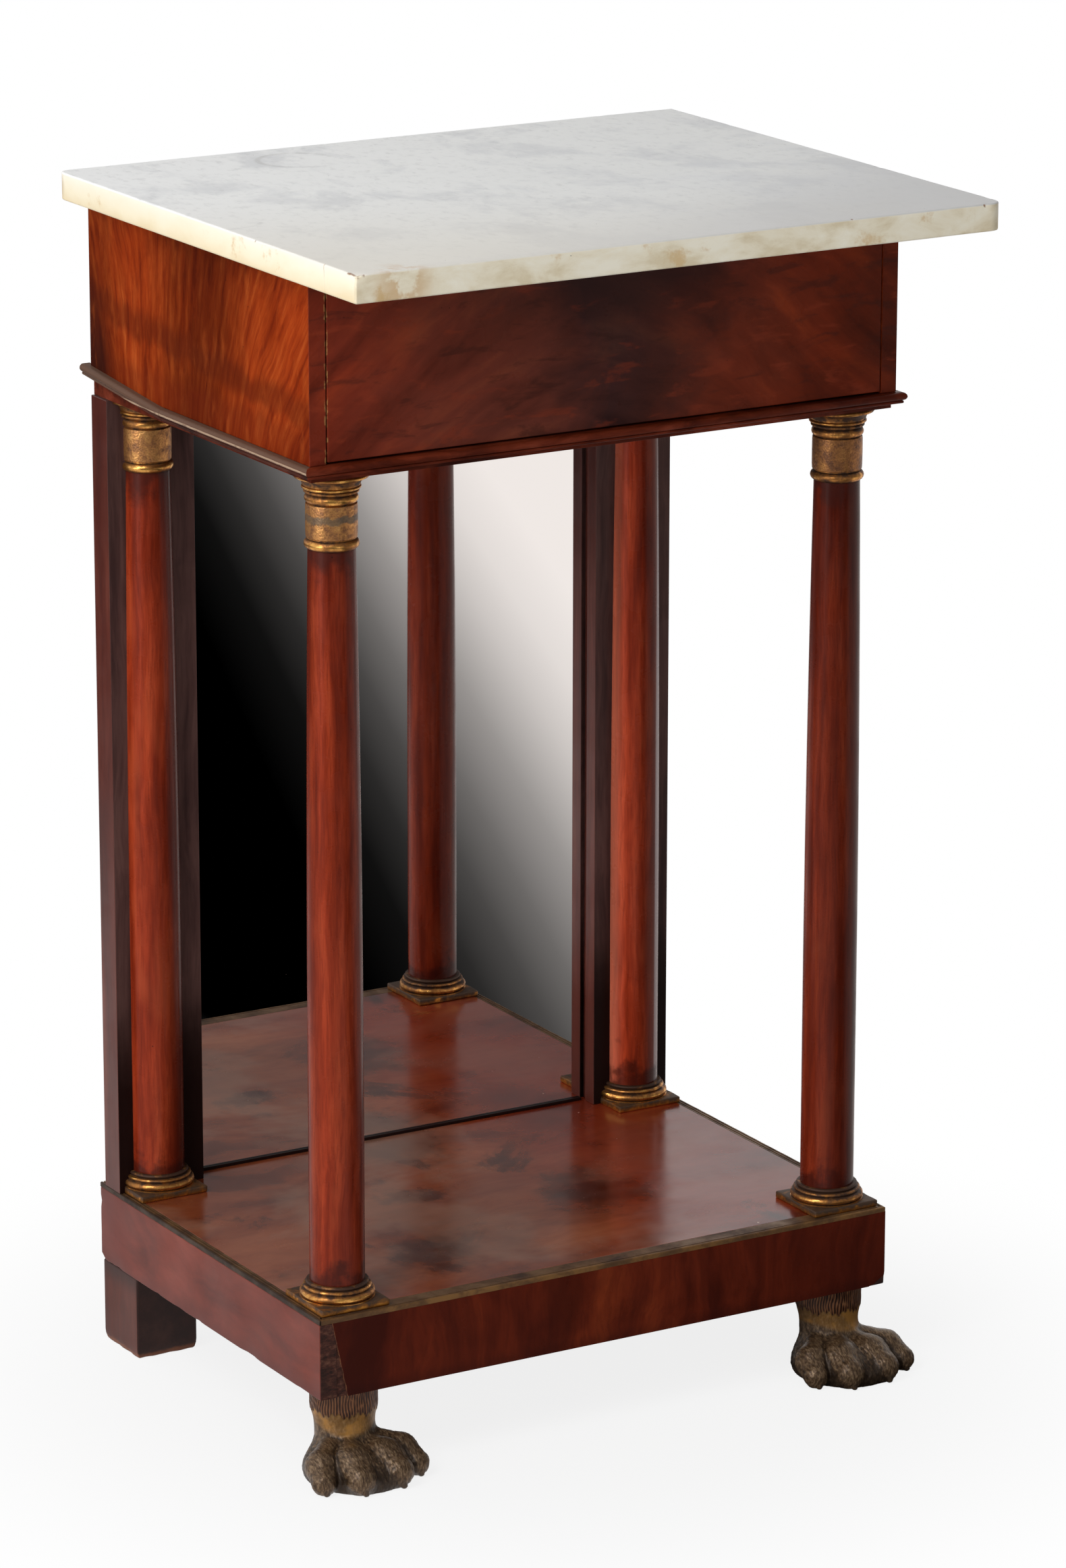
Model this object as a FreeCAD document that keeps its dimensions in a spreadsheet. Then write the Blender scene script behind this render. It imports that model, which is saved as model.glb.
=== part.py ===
import FreeCAD, Part
import Sketcher
import os

# Pier table: a marble slab on a frieze with one concealed drawer, four columns in front of a mirror back,
# and a plinth shelf on two paw feet and two block feet. Millimetres, +Z up, front towards -Y.
# The origin lies on the floor, under the middle of the marble slab.

DRIVING_DIMENSIONS = {
    # overall build-up, from the floor to the slab
    "foot_height": 64.0,
    "shelf_height": 60.5,
    "column_height": 605.5,
    "soffit_height": 12.0,
    "frieze_height": 132.5,
    "marble_thickness": 20.0,
    # plan sizes
    "marble_width": 517.6,
    "marble_depth": 442.0,
    "marble_corner_radius": 3.0,
    "marble_arris": 1.2,
    "frieze_width": 478.4,
    "frieze_depth": 331.0,
    "shelf_width": 478.4,
    "shelf_depth": 344.0,
    "carcass_back_inset": 9.0,
    "shelf_back_inset": 0.5,
    # frieze boards
    "frieze_side_thickness": 13.0,
    "frieze_back_thickness": 12.0,
    "frieze_back_rebate": 6.0,
    "rail_height": 20.0,
    "rail_depth": 40.0,
    "rail_tongue": 6.0,
    "kicker_width": 20.0,
    "soffit_inset": 2.5,
    # astragal moulding round the frieze
    "bead_height": 8.0,
    "bead_reach": 6.0,
    # drawer
    "drawer_depth": 300.0,
    "drawer_front_thickness": 20.0,
    "drawer_side_thickness": 10.0,
    "drawer_back_thickness": 10.0,
    "drawer_bottom_thickness": 6.0,
    "drawer_bottom_lift": 8.0,
    "drawer_back_drop": 6.0,
    "drawer_end_gap": 1.0,
    "drawer_front_foot_gap": 1.5,
    "drawer_front_head_gap": 1.0,
    "drawer_running_gap": 0.5,
    "kicker_gap": 1.5,
    "groove_depth": 5.0,
    "housing_depth": 4.0,
    "panel_play": 0.2,
    "tail_length": 12.0,
    "tail_tip": 26.0,
    "tail_root": 20.0,
    "tail_pitch": 35.0,
    "stop_width": 20.0,
    "stop_height": 24.0,
    "stop_gap": 0.3,
    "pin_radius": 0.8,
    "pin_length": 13.0,
    "pin_play": 0.1,
    "pin_end_margin": 40.0,
    # columns
    "column_inset_side": 31.7,
    "column_inset_front": 32.0,
    "engaged_stand_off": 1.0,
    "shaft_foot_radius": 19.8,
    "shaft_head_radius": 16.8,
    "shaft_straight_height": 160.0,
    "peg_radius": 11.0,
    "peg_length": 10.0,
    "peg_play": 0.15,
    "plinth_width": 55.0,
    "plinth_thickness": 5.0,
    # turned base, from the plinth up
    "base_torus_height": 5.0,
    "base_torus_radius": 27.0,
    "base_collar_height": 1.0,
    "base_collar_radius": 24.0,
    "base_ring_height": 3.2,
    "base_ring_radius": 25.0,
    "base_lip_height": 2.8,
    "base_lip_radius": 22.8,
    # capital, from the soffit down
    "abacus_height": 3.5,
    "abacus_radius": 26.5,
    "capital_bead_height": 4.0,
    "capital_bead_radius": 25.0,
    "capital_ring_height": 3.5,
    "capital_ring_radius": 23.0,
    "capital_flare_height": 4.0,
    "capital_flare_radius": 21.5,
    "capital_neck_height": 6.0,
    "capital_neck_radius": 18.2,
    "capital_drum_height": 25.5,
    "capital_drum_radius": 19.2,
    "capital_groove_height": 1.0,
    "capital_groove_radius": 17.8,
    "capital_torus_height": 6.5,
    "capital_torus_radius": 19.8,
    # pilasters and mirror
    "pilaster_width": 68.0,
    "pilaster_thickness": 24.0,
    "tenon_width": 36.0,
    "tenon_thickness": 10.0,
    "tenon_length": 10.0,
    "mirror_setback": 17.0,
    "mirror_thickness": 3.0,
    "mirror_rebate": 6.0,
    "mirror_play": 0.5,
    "back_board_rebate": 16.0,
    "mirror_rail_height": 14.0,
    "mirror_rail_setback": 2.0,
    "mirror_slip_size": 2.5,
    # plinth shelf
    "shelf_rail_thickness": 14.0,
    "shelf_board_thickness": 14.0,
    "shelf_lap": 6.0,
    "brass_thickness": 3.5,
    "brass_front_width": 14.0,
    "brass_side_width": 7.0,
    "reed_width": 1.6,
    "reed_depth": 0.8,
    "reed_inset": 1.8,
    "corner_block_size": 48.0,
    # feet
    "foot_peg_radius": 8.0,
    "foot_peg_length": 30.0,
    "block_foot_width": 50.0,
    "block_foot_depth": 55.0,
    "block_foot_inset": 1.0,
    "ankle_radius": 26.0,
    "ankle_waist_radius": 23.6,
    "ankle_heel_radius": 27.0,
    "ankle_waist_height": 46.0,
    "ankle_inset_side": 32.8,
    "ankle_inset_front": 26.0,
    "instep_reach": 22.0,
    "instep_radius": 32.0,
    "instep_height": 40.0,
    "toe_inner_offset": 16.5,
    "toe_outer_offset": 36.0,
    "toe_inner_reach": 45.0,
    "toe_outer_reach": 32.0,
    "knuckle_radius": 12.0,
    "toe_height": 35.0,
    "toe_pad_radius": 11.0,
    "toe_pad_reach": 9.0,
    "toe_pad_sink": 1.0,
    "claw_radius": 4.0,
    "claw_tip_radius": 1.0,
    "claw_length": 7.0,
    "claw_height": 6.0,
}

TAIL_COUNT = 3
MIRROR_PINS_PER_SIDE = 4
DRAWER_PINS = 3
ENTASIS_STEPS = 4
MITRE_REACH = 100
SKETCH_START = 10

doc = FreeCAD.newDocument("pier_table")
sheet = doc.addObject("Spreadsheet::Sheet", "dims")
for row, (alias, value) in enumerate(DRIVING_DIMENSIONS.items(), start=1):
    sheet.set(f"A{row}", alias)
    sheet.set(f"B{row}", str(value))
    sheet.setAlias(f"B{row}", alias)
doc.recompute()

nodes = []


# ---------------------------------------------------------------- expressions for the main planes


def neg(text):
    return f"(-({text}))"


def add(*terms):
    return "(" + " + ".join(terms) + ")"


def sub(first, *rest):
    return "(" + " - ".join((first,) + rest) + ")"


def half(text):
    return f"(({text}) / 2)"


def dim(alias):
    return f"dims.{alias}"


shelf_bottom = dim("foot_height")
shelf_top = add(shelf_bottom, dim("shelf_height"))
soffit_bottom = add(shelf_top, dim("column_height"))
frieze_bottom = add(soffit_bottom, dim("soffit_height"))
frieze_top = add(frieze_bottom, dim("frieze_height"))

marble_back = half(dim("marble_depth"))
carcass_back = sub(marble_back, dim("carcass_back_inset"))
frieze_front = sub(carcass_back, dim("frieze_depth"))
shelf_back = sub(marble_back, dim("shelf_back_inset"))
shelf_front = sub(shelf_back, dim("shelf_depth"))

frieze_side = half(dim("frieze_width"))
frieze_inner = sub(frieze_side, dim("frieze_side_thickness"))
shelf_side = half(dim("shelf_width"))

rail_bottom = sub(frieze_top, dim("rail_height"))
back_board_front = sub(carcass_back, dim("frieze_back_thickness"))
drawer_front_back = add(frieze_front, dim("drawer_front_thickness"))
rail_front = add(drawer_front_back, dim("drawer_front_head_gap"))
rail_back = add(rail_front, dim("rail_depth"))

pilaster_front = sub(carcass_back, dim("pilaster_thickness"))
pilaster_inner = sub(frieze_side, dim("pilaster_width"))
mirror_front = add(pilaster_front, dim("mirror_setback"))
mirror_back = add(mirror_front, dim("mirror_thickness"))

column_x = sub(shelf_side, dim("column_inset_side"))
front_column_y = add(shelf_front, dim("column_inset_front"))
rear_column_y = sub(pilaster_front, dim("engaged_stand_off"))

base_height = add(dim("plinth_thickness"), dim("base_torus_height"), dim("base_collar_height"),
                  dim("base_ring_height"), dim("base_lip_height"))
CAPITAL_STEPS = ("abacus", "capital_bead", "capital_ring", "capital_flare", "capital_neck",
                 "capital_drum", "capital_groove", "capital_torus")
capital_height = add(*(dim(step + "_height") for step in CAPITAL_STEPS))


# ---------------------------------------------------------------- building blocks


def place(thing, x="0", y="0", z="0"):
    for axis, text in zip("xyz", (x, y, z)):
        thing.setExpression(f"Placement.Base.{axis}", text)
    return thing


def block(name, x, y, z):
    """A board between pairs of planes; each pair is its low and its high expression."""
    board = doc.addObject("Part::Box", name)
    for size, (low, high) in zip(("Length", "Width", "Height"), (x, y, z)):
        board.setExpression(size, sub(high, low))
    return place(board, x[0], y[0], z[0])


def cylinder(name, radius, x, y, z):
    """An upright cylinder at x, y, between the pair of heights z."""
    drum = doc.addObject("Part::Cylinder", name)
    drum.setExpression("Radius", radius)
    drum.setExpression("Height", sub(z[1], z[0]))
    return place(drum, x, y, z[0])


def cone(name, low_radius, high_radius, x, y, z):
    taper = doc.addObject("Part::Cone", name)
    taper.setExpression("Radius1", low_radius)
    taper.setExpression("Radius2", high_radius)
    taper.setExpression("Height", sub(z[1], z[0]))
    return place(taper, x, y, z[0])


def bead(name, radius, x, y, z):
    """A disc with a half-round rim: the core and the ring round it."""
    rim = half(sub(z[1], z[0]))
    core_radius = sub(radius, rim)
    ring = doc.addObject("Part::Torus", name + "_rim")
    ring.setExpression("Radius1", core_radius)
    ring.setExpression("Radius2", rim)
    place(ring, x, y, add(z[0], rim))
    return [cylinder(name + "_core", core_radius, x, y, z), ring]


def ball(name, radius, x, y, z):
    sphere = doc.addObject("Part::Sphere", name)
    sphere.setExpression("Radius", radius)
    return place(sphere, x, y, z)


def fuse(name, shapes):
    joined = doc.addObject("Part::MultiFuse", name)
    joined.Shapes = shapes
    joined.Refine = True
    return joined


def cut(name, base, tools):
    """The base without its tools."""
    result = doc.addObject("Part::Cut", name)
    result.Base = base
    result.Tool = tools[0] if len(tools) == 1 else fuse(name + "_tools", tools)
    return result


def compound(name, shapes):
    group = doc.addObject("Part::Compound", name)
    group.Links = shapes
    return group


def keep(thing, label):
    """Names a finished sub-part and puts it on the list of nodes."""
    thing.Label = label
    nodes.append(thing)
    return thing


def keep_pair(thing, name):
    """Keeps a left-hand sub-part and its mirror image as the right-hand one."""
    keep(thing, name + "_left")
    twin = doc.addObject("Part::Mirroring", name + "_twin")
    twin.Source = thing
    twin.Normal = (1, 0, 0)
    twin.Base = (0, 0, 0)
    return keep(twin, name + "_right")


def mitre_tool(name, x, y, z, angle):
    """A block whose corner stands at x, y and whose first side runs off at an angle."""
    reach = str(MITRE_REACH)
    tool = block(name, (x, add(x, reach)), (y, add(y, reach)), z)
    tool.setExpression("Placement.Rotation.Angle", str(angle))
    tool.Placement.Rotation.Axis = (0, 0, 1)
    return tool


# ---------------------------------------------------------------- marble slab


def marble_top():
    body = doc.addObject("PartDesign::Body", "marble_body")
    outline = body.newObject("Sketcher::SketchObject", "marble_outline")
    plane = [p for p in body.Origin.OriginFeatures if p.Role == "XY_Plane"][0]
    outline.AttachmentSupport = [(plane, "")]
    outline.MapMode = "FlatFace"
    start = SKETCH_START
    corners = [(-start, -start), (start, -start), (start, start), (-start, start)]
    vectors = [FreeCAD.Vector(x, y, 0) for x, y in corners]
    for index in range(4):
        outline.addGeometry(Part.LineSegment(vectors[index], vectors[(index + 1) % 4]), False)
    for index in range(4):
        outline.addConstraint(Sketcher.Constraint("Coincident", index, 2, (index + 1) % 4, 1))
    for index, kind in enumerate(("Horizontal", "Vertical", "Horizontal", "Vertical")):
        outline.addConstraint(Sketcher.Constraint(kind, index))
    outline.addConstraint(Sketcher.Constraint("Symmetric", 0, 1, 1, 2, -1, 1))
    width = outline.addConstraint(Sketcher.Constraint("DistanceX", 0, 1, 0, 2, 2 * start))
    depth = outline.addConstraint(Sketcher.Constraint("DistanceY", 1, 1, 1, 2, 2 * start))
    outline.setExpression(f"Constraints[{width}]", dim("marble_width"))
    outline.setExpression(f"Constraints[{depth}]", dim("marble_depth"))
    slab = body.newObject("PartDesign::Pad", "marble_slab")
    slab.Profile = outline
    slab.setExpression("Length", dim("marble_thickness"))
    doc.recompute()
    upright = [f"Edge{n}" for n, edge in enumerate(slab.Shape.Edges, start=1)
               if abs(edge.tangentAt(edge.FirstParameter).z) > 0.9]
    corners_rounded = body.newObject("PartDesign::Fillet", "marble_corners")
    corners_rounded.Base = (slab, upright)
    corners_rounded.setExpression("Radius", dim("marble_corner_radius"))
    doc.recompute()
    top = corners_rounded.Shape.BoundBox.ZMax
    rim = [f"Edge{n}" for n, edge in enumerate(corners_rounded.Shape.Edges, start=1)
           if edge.BoundBox.ZMin > top - 0.01]
    eased = body.newObject("PartDesign::Chamfer", "marble_eased_rim")
    eased.Base = (corners_rounded, rim)
    eased.setExpression("Size", dim("marble_arris"))
    body.Tip = eased
    place(body, z=frieze_top)
    keep(body, "marble_top")


# ---------------------------------------------------------------- frieze


def frieze():
    z = (frieze_bottom, frieze_top)
    rebate_side = add(frieze_inner, dim("frieze_back_rebate"))
    tongue_side = add(frieze_inner, dim("rail_tongue"))
    board = block("frieze_side_board", (neg(frieze_side), neg(frieze_inner)), (frieze_front, carcass_back), z)
    back_rebate = block("frieze_side_rebate", (neg(rebate_side), neg(frieze_inner)),
                        (back_board_front, carcass_back), z)
    rail_mortise = block("frieze_side_mortise", (neg(tongue_side), neg(frieze_inner)),
                         (rail_front, rail_back), (rail_bottom, frieze_top))
    keep_pair(cut("frieze_side", board, [back_rebate, rail_mortise]), "frieze_side")
    keep(block("frieze_back_board", (neg(rebate_side), rebate_side), (back_board_front, carcass_back), z),
         "frieze_back")
    keep(block("frieze_top_rail", (neg(tongue_side), tongue_side), (rail_front, rail_back),
               (rail_bottom, frieze_top)), "top_rail")
    kicker_inner = sub(frieze_inner, dim("kicker_width"))
    keep_pair(block("drawer_kicker", (neg(frieze_inner), neg(kicker_inner)),
                    (rail_back, back_board_front), (rail_bottom, frieze_top)), "kicker")
    drawer_back = add(frieze_front, dim("drawer_depth"))
    keep_pair(block("drawer_stop_block", (neg(frieze_inner), sub(dim("stop_width"), frieze_inner)),
                    (add(drawer_back, dim("stop_gap")), back_board_front),
                    (frieze_bottom, add(frieze_bottom, dim("stop_height")))), "drawer_stop")


def soffit():
    """The bottom board of the frieze, bored and mortised for what stands under it."""
    side = sub(frieze_side, dim("soffit_inset"))
    front = add(frieze_front, dim("soffit_inset"))
    z = (soffit_bottom, frieze_bottom)
    board = block("soffit_blank", (neg(side), side), (front, carcass_back), z)
    tools = []
    hole_radius = add(dim("peg_radius"), dim("peg_play"))
    hole_top = add(soffit_bottom, dim("peg_length"))
    mortise_top = add(soffit_bottom, dim("tenon_length"))
    for name, sign in (("left", neg), ("right", add)):
        tools.append(cylinder(f"soffit_hole_{name}", hole_radius, sign(column_x), front_column_y,
                              (soffit_bottom, hole_top)))
        tools.append(tenon(f"soffit_mortise_{name}", sign, soffit_bottom, mortise_top))
    keep(cut("soffit", board, tools), "soffit_board")


def moulding():
    """The astragal bead on the edge of the bottom board, mitred at the two front corners."""
    rim = half(dim("bead_height"))
    z = (sub(frieze_bottom, dim("bead_height")), frieze_bottom)
    bead_x = add(frieze_side, sub(dim("bead_reach"), rim))
    bead_y = sub(frieze_front, sub(dim("bead_reach"), rim))
    tip_x = add(frieze_side, dim("bead_reach"))
    tip_y = sub(frieze_front, dim("bead_reach"))
    board_side = sub(frieze_side, dim("soffit_inset"))
    board_front = add(frieze_front, dim("soffit_inset"))

    flat = block("bead_side_flat", (neg(bead_x), neg(board_side)), (tip_y, carcass_back), z)
    roll = doc.addObject("Part::Cylinder", "bead_side_roll")
    roll.setExpression("Radius", rim)
    roll.setExpression("Height", sub(carcass_back, tip_y))
    roll.Placement.Rotation = FreeCAD.Rotation(FreeCAD.Vector(1, 0, 0), -90)
    place(roll, neg(bead_x), tip_y, add(z[0], rim))
    strip = fuse("bead_side_strip", [flat, roll])
    keep_pair(cut("bead_side", strip, [mitre_tool("bead_side_mitre", neg(tip_x), tip_y, z, -45)]),
              "frieze_moulding")

    flat = block("bead_front_flat", (neg(tip_x), tip_x), (bead_y, board_front), z)
    roll = doc.addObject("Part::Cylinder", "bead_front_roll")
    roll.setExpression("Radius", rim)
    roll.setExpression("Height", add(tip_x, tip_x))
    roll.Placement.Rotation = FreeCAD.Rotation(FreeCAD.Vector(0, 1, 0), 90)
    place(roll, neg(tip_x), bead_y, add(z[0], rim))
    strip = fuse("bead_front_strip", [flat, roll])
    mitres = [mitre_tool("bead_front_mitre_left", neg(tip_x), tip_y, z, 45),
              mitre_tool("bead_front_mitre_right", tip_x, tip_y, z, 45)]
    keep(cut("bead_front", strip, mitres), "frieze_moulding_front")


# ---------------------------------------------------------------- drawer


def drawer():
    end = sub(frieze_inner, dim("drawer_end_gap"))
    inner = sub(end, dim("drawer_side_thickness"))
    shoulder = drawer_front_back
    back = add(frieze_front, dim("drawer_depth"))
    low = add(frieze_bottom, dim("drawer_running_gap"))
    high = sub(rail_bottom, dim("kicker_gap"))
    front_z = (add(frieze_bottom, dim("drawer_front_foot_gap")),
               sub(frieze_top, dim("drawer_front_head_gap")))
    bottom_z = (add(low, dim("drawer_bottom_lift")),
                add(low, dim("drawer_bottom_lift"), dim("drawer_bottom_thickness")))
    groove_z = (sub(bottom_z[0], dim("panel_play")), add(bottom_z[1], dim("panel_play")))
    groove_side = add(inner, dim("groove_depth"))
    groove_front = sub(shoulder, dim("groove_depth"))
    housing_side = add(inner, dim("housing_depth"))
    back_y = (sub(back, dim("drawer_back_thickness")), back)
    middle = half(add(low, high))

    tails = {}
    for name, near, far in (("left", neg(end), neg(inner)), ("right", inner, end)):
        tails[name] = []
        for index in range(TAIL_COUNT):
            rise = add(middle, f"{index - (TAIL_COUNT - 1) / 2} * {dim('tail_pitch')}")
            tail = doc.addObject("Part::Wedge", f"tail_{name}_{index + 1}")
            for prop, text in (("Xmin", "0"), ("Xmax", dim("drawer_side_thickness")),
                               ("X2min", "0"), ("X2max", dim("drawer_side_thickness")),
                               ("Ymin", "0"), ("Ymax", dim("tail_length")),
                               ("Zmin", neg(half(dim("tail_tip")))), ("Zmax", half(dim("tail_tip"))),
                               ("Z2min", neg(half(dim("tail_root")))), ("Z2max", half(dim("tail_root")))):
                tail.setExpression(prop, text)
            place(tail, near, sub(shoulder, dim("tail_length")), rise)
            tails[name].append(tail)

        board = block(f"drawer_side_board_{name}", (near, far), (shoulder, back), (low, high))
        body = fuse(f"drawer_side_tailed_{name}", [board] + tails[name])
        groove_x = (neg(groove_side), neg(inner)) if name == "left" else (inner, groove_side)
        housing_x = (neg(housing_side), neg(inner)) if name == "left" else (inner, housing_side)
        groove = block(f"drawer_side_groove_{name}", groove_x, (groove_front, back), groove_z)
        housing = block(f"drawer_side_housing_{name}", housing_x, back_y, (groove_z[1], high))
        keep(cut(f"drawer_side_{name}_cut", body, [groove, housing]), f"drawer_side_{name}")

    front = block("drawer_front_board", (neg(end), end), (frieze_front, shoulder), front_z)
    front_groove = block("drawer_front_groove", (neg(groove_side), groove_side),
                         (groove_front, shoulder), groove_z)
    keep(cut("drawer_front_cut", front, tails["left"] + tails["right"] + [front_groove]), "drawer_front")

    back_board = block("drawer_back_board", (neg(housing_side), housing_side), back_y,
                       (groove_z[1], sub(high, dim("drawer_back_drop"))))
    bottom_side = sub(groove_side, dim("panel_play"))
    bottom_front = add(groove_front, dim("panel_play"))
    bottom = block("drawer_bottom_board", (neg(bottom_side), bottom_side), (bottom_front, back), bottom_z)
    pins, holes = [], []
    pin_spread = sub(inner, dim("pin_end_margin"))
    for index in range(DRAWER_PINS):
        x = f"({2 * index / (DRAWER_PINS - 1) - 1} * {pin_spread})"
        y = half(add(*back_y))
        pin_z = (bottom_z[0], add(bottom_z[0], dim("pin_length")))
        pins.append(cylinder(f"drawer_pin_{index + 1}", dim("pin_radius"), x, y, pin_z))
        hole_radius = add(dim("pin_radius"), dim("pin_play"))
        holes.append(cylinder(f"drawer_pin_hole_{index + 1}", hole_radius, x, y, pin_z))
    keep(cut("drawer_back_bored", back_board, holes), "drawer_back")
    keep(cut("drawer_bottom_bored", bottom, holes), "drawer_bottom")
    keep(compound("drawer_pins", pins), "drawer_bottom_pins")


# ---------------------------------------------------------------- columns


def column(name, sign, y, engaged):
    """Shaft, capital, turned base and square plinth of one column; a rear one is cut to a half column."""
    x = sign(column_x)
    bore_radius = add(dim("peg_radius"), dim("peg_play"))
    base_top = add(shelf_top, base_height)
    capital_bottom = sub(soffit_bottom, capital_height)

    def finish(blank, label, tools=()):
        tools = list(tools)
        if engaged:
            reach = dim("plinth_width")
            tools.append(block(f"{label}_{name}_flat", (sub(x, reach), add(x, reach)),
                               (pilaster_front, add(pilaster_front, reach)), (shelf_bottom, frieze_bottom)))
        if tools:
            blank = cut(f"{label}_{name}_cut", blank, tools)
        keep(blank, f"{label}_{name}")

    peg_z = (shelf_top, soffit_bottom) if engaged else (sub(shelf_top, dim("peg_length")),
                                                        add(soffit_bottom, dim("peg_length")))
    swell = add(shelf_top, dim("shaft_straight_height"))
    shapes = [cylinder(f"shaft_peg_{name}", dim("peg_radius"), x, y, peg_z),
              cylinder(f"shaft_straight_{name}", dim("shaft_foot_radius"), x, y, (base_top, swell))]
    for step in range(ENTASIS_STEPS):
        ends = [(step + offset) / ENTASIS_STEPS for offset in (0, 1)]
        levels = [add(swell, f"{share} * {sub(capital_bottom, swell)}") for share in ends]
        radii = [sub(dim("shaft_foot_radius"),
                     f"{share ** 2} * {sub(dim('shaft_foot_radius'), dim('shaft_head_radius'))}")
                 for share in ends]
        shapes.append(cone(f"shaft_taper_{step + 1}_{name}", radii[0], radii[1], x, y, levels))
    finish(fuse(f"shaft_{name}", shapes), "column_shaft")

    plinth_top = add(shelf_top, dim("plinth_thickness"))
    reach = half(dim("plinth_width"))
    plate = block(f"plinth_plate_{name}", (sub(x, reach), add(x, reach)), (sub(y, reach), add(y, reach)),
                  (shelf_top, plinth_top))
    bore = cylinder(f"plinth_bore_{name}", bore_radius, x, y, (shelf_top, plinth_top))
    finish(plate, "column_plinth", [bore])

    shapes = []
    z = plinth_top
    for step in ("torus", "collar", "ring", "lip"):
        top = add(z, dim(f"base_{step}_height"))
        radius = dim(f"base_{step}_radius")
        if step == "collar":
            shapes.append(cylinder(f"base_{step}_{name}", radius, x, y, (z, top)))
        else:
            shapes += bead(f"base_{step}_{name}", radius, x, y, (z, top))
        z = top
    bore = cylinder(f"base_bore_{name}", bore_radius, x, y, (plinth_top, base_top))
    finish(fuse(f"base_{name}", shapes), "column_base", [bore])

    shapes = []
    z = soffit_bottom
    for step in CAPITAL_STEPS:
        low = sub(z, dim(step + "_height"))
        radius = dim(step + "_radius")
        label = f"{step}_{name}"
        if step == "capital_flare":
            shapes.append(cone(label, dim("capital_neck_radius"), radius, x, y, (low, z)))
        elif step in ("capital_bead", "capital_ring", "capital_torus"):
            shapes += bead(label, radius, x, y, (low, z))
        else:
            shapes.append(cylinder(label, radius, x, y, (low, z)))
        z = low
    bore = cylinder(f"capital_bore_{name}", bore_radius, x, y, (capital_bottom, soffit_bottom))
    finish(fuse(f"capital_turning_{name}", shapes), "capital", [bore])


# ---------------------------------------------------------------- pilasters and mirror


def tenon(name, sign, low, high):
    """The tenon of a pilaster, or the mortise that takes it, between two heights."""
    middle_x = sign(half(add(frieze_side, pilaster_inner)))
    middle_y = half(add(pilaster_front, mirror_front))
    reach_x = half(dim("tenon_width"))
    reach_y = half(dim("tenon_thickness"))
    return block(name, (sub(middle_x, reach_x), add(middle_x, reach_x)),
                 (sub(middle_y, reach_y), add(middle_y, reach_y)), (low, high))


def mirror_back_assembly():
    z = (shelf_top, soffit_bottom)
    glass_side = add(pilaster_inner, dim("mirror_rebate"))
    board_side = add(pilaster_inner, dim("back_board_rebate"))
    stile = block("pilaster_blank", (neg(frieze_side), neg(pilaster_inner)),
                  (pilaster_front, carcass_back), z)
    tenons = [tenon("pilaster_foot_tenon", neg, sub(shelf_top, dim("tenon_length")), shelf_top),
              tenon("pilaster_head_tenon", neg, soffit_bottom, add(soffit_bottom, dim("tenon_length")))]
    glass_rebate = block("pilaster_glass_rebate", (neg(glass_side), neg(pilaster_inner)),
                         (mirror_front, mirror_back), z)
    board_rebate = block("pilaster_board_rebate", (neg(board_side), neg(pilaster_inner)),
                         (mirror_back, carcass_back), z)

    play = dim("mirror_play")
    board_z = (shelf_top, sub(soffit_bottom, play))
    board = block("mirror_board_blank", (neg(sub(board_side, play)), sub(board_side, play)),
                  (mirror_back, carcass_back), board_z)
    pins, board_holes, stile_holes = [], [], []
    pin_x = half(add(glass_side, board_side))
    for name, sign in (("left", neg), ("right", add)):
        for index in range(MIRROR_PINS_PER_SIDE):
            rise = add(shelf_top, f"{(index + 0.5) / MIRROR_PINS_PER_SIDE} * {dim('column_height')}")
            for kind, radius, group in (("pin", dim("pin_radius"), pins),
                                        ("hole", add(dim("pin_radius"), dim("pin_play")), board_holes)):
                wire = cylinder(f"mirror_{kind}_{name}_{index + 1}", radius, sign(pin_x), carcass_back,
                                (rise, add(rise, dim("pin_length"))))
                wire.Placement.Rotation = FreeCAD.Rotation(FreeCAD.Vector(1, 0, 0), 90)
                group.append(wire)
                if kind == "hole" and name == "left":
                    stile_holes.append(wire)
    keep_pair(cut("pilaster", fuse("pilaster_tenoned", [stile] + tenons),
                  [glass_rebate, board_rebate] + stile_holes), "pilaster")
    keep(cut("mirror_board", board, board_holes), "mirror_back_board")
    keep(compound("mirror_pins", pins), "mirror_board_pins")

    glass_reach = sub(glass_side, play)
    keep(block("mirror_plate", (neg(glass_reach), glass_reach), (mirror_front, mirror_back), board_z),
         "mirror_glass")
    keep(block("mirror_rail", (neg(pilaster_inner), pilaster_inner),
               (add(pilaster_front, dim("mirror_rail_setback")), mirror_front),
               (sub(soffit_bottom, dim("mirror_rail_height")), soffit_bottom)), "mirror_head_rail")
    keep(block("mirror_slip_strip", (neg(pilaster_inner), pilaster_inner),
               (sub(mirror_front, dim("mirror_slip_size")), mirror_front),
               (shelf_top, add(shelf_top, dim("mirror_slip_size")))), "mirror_foot_slip")


# ---------------------------------------------------------------- plinth shelf


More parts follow.
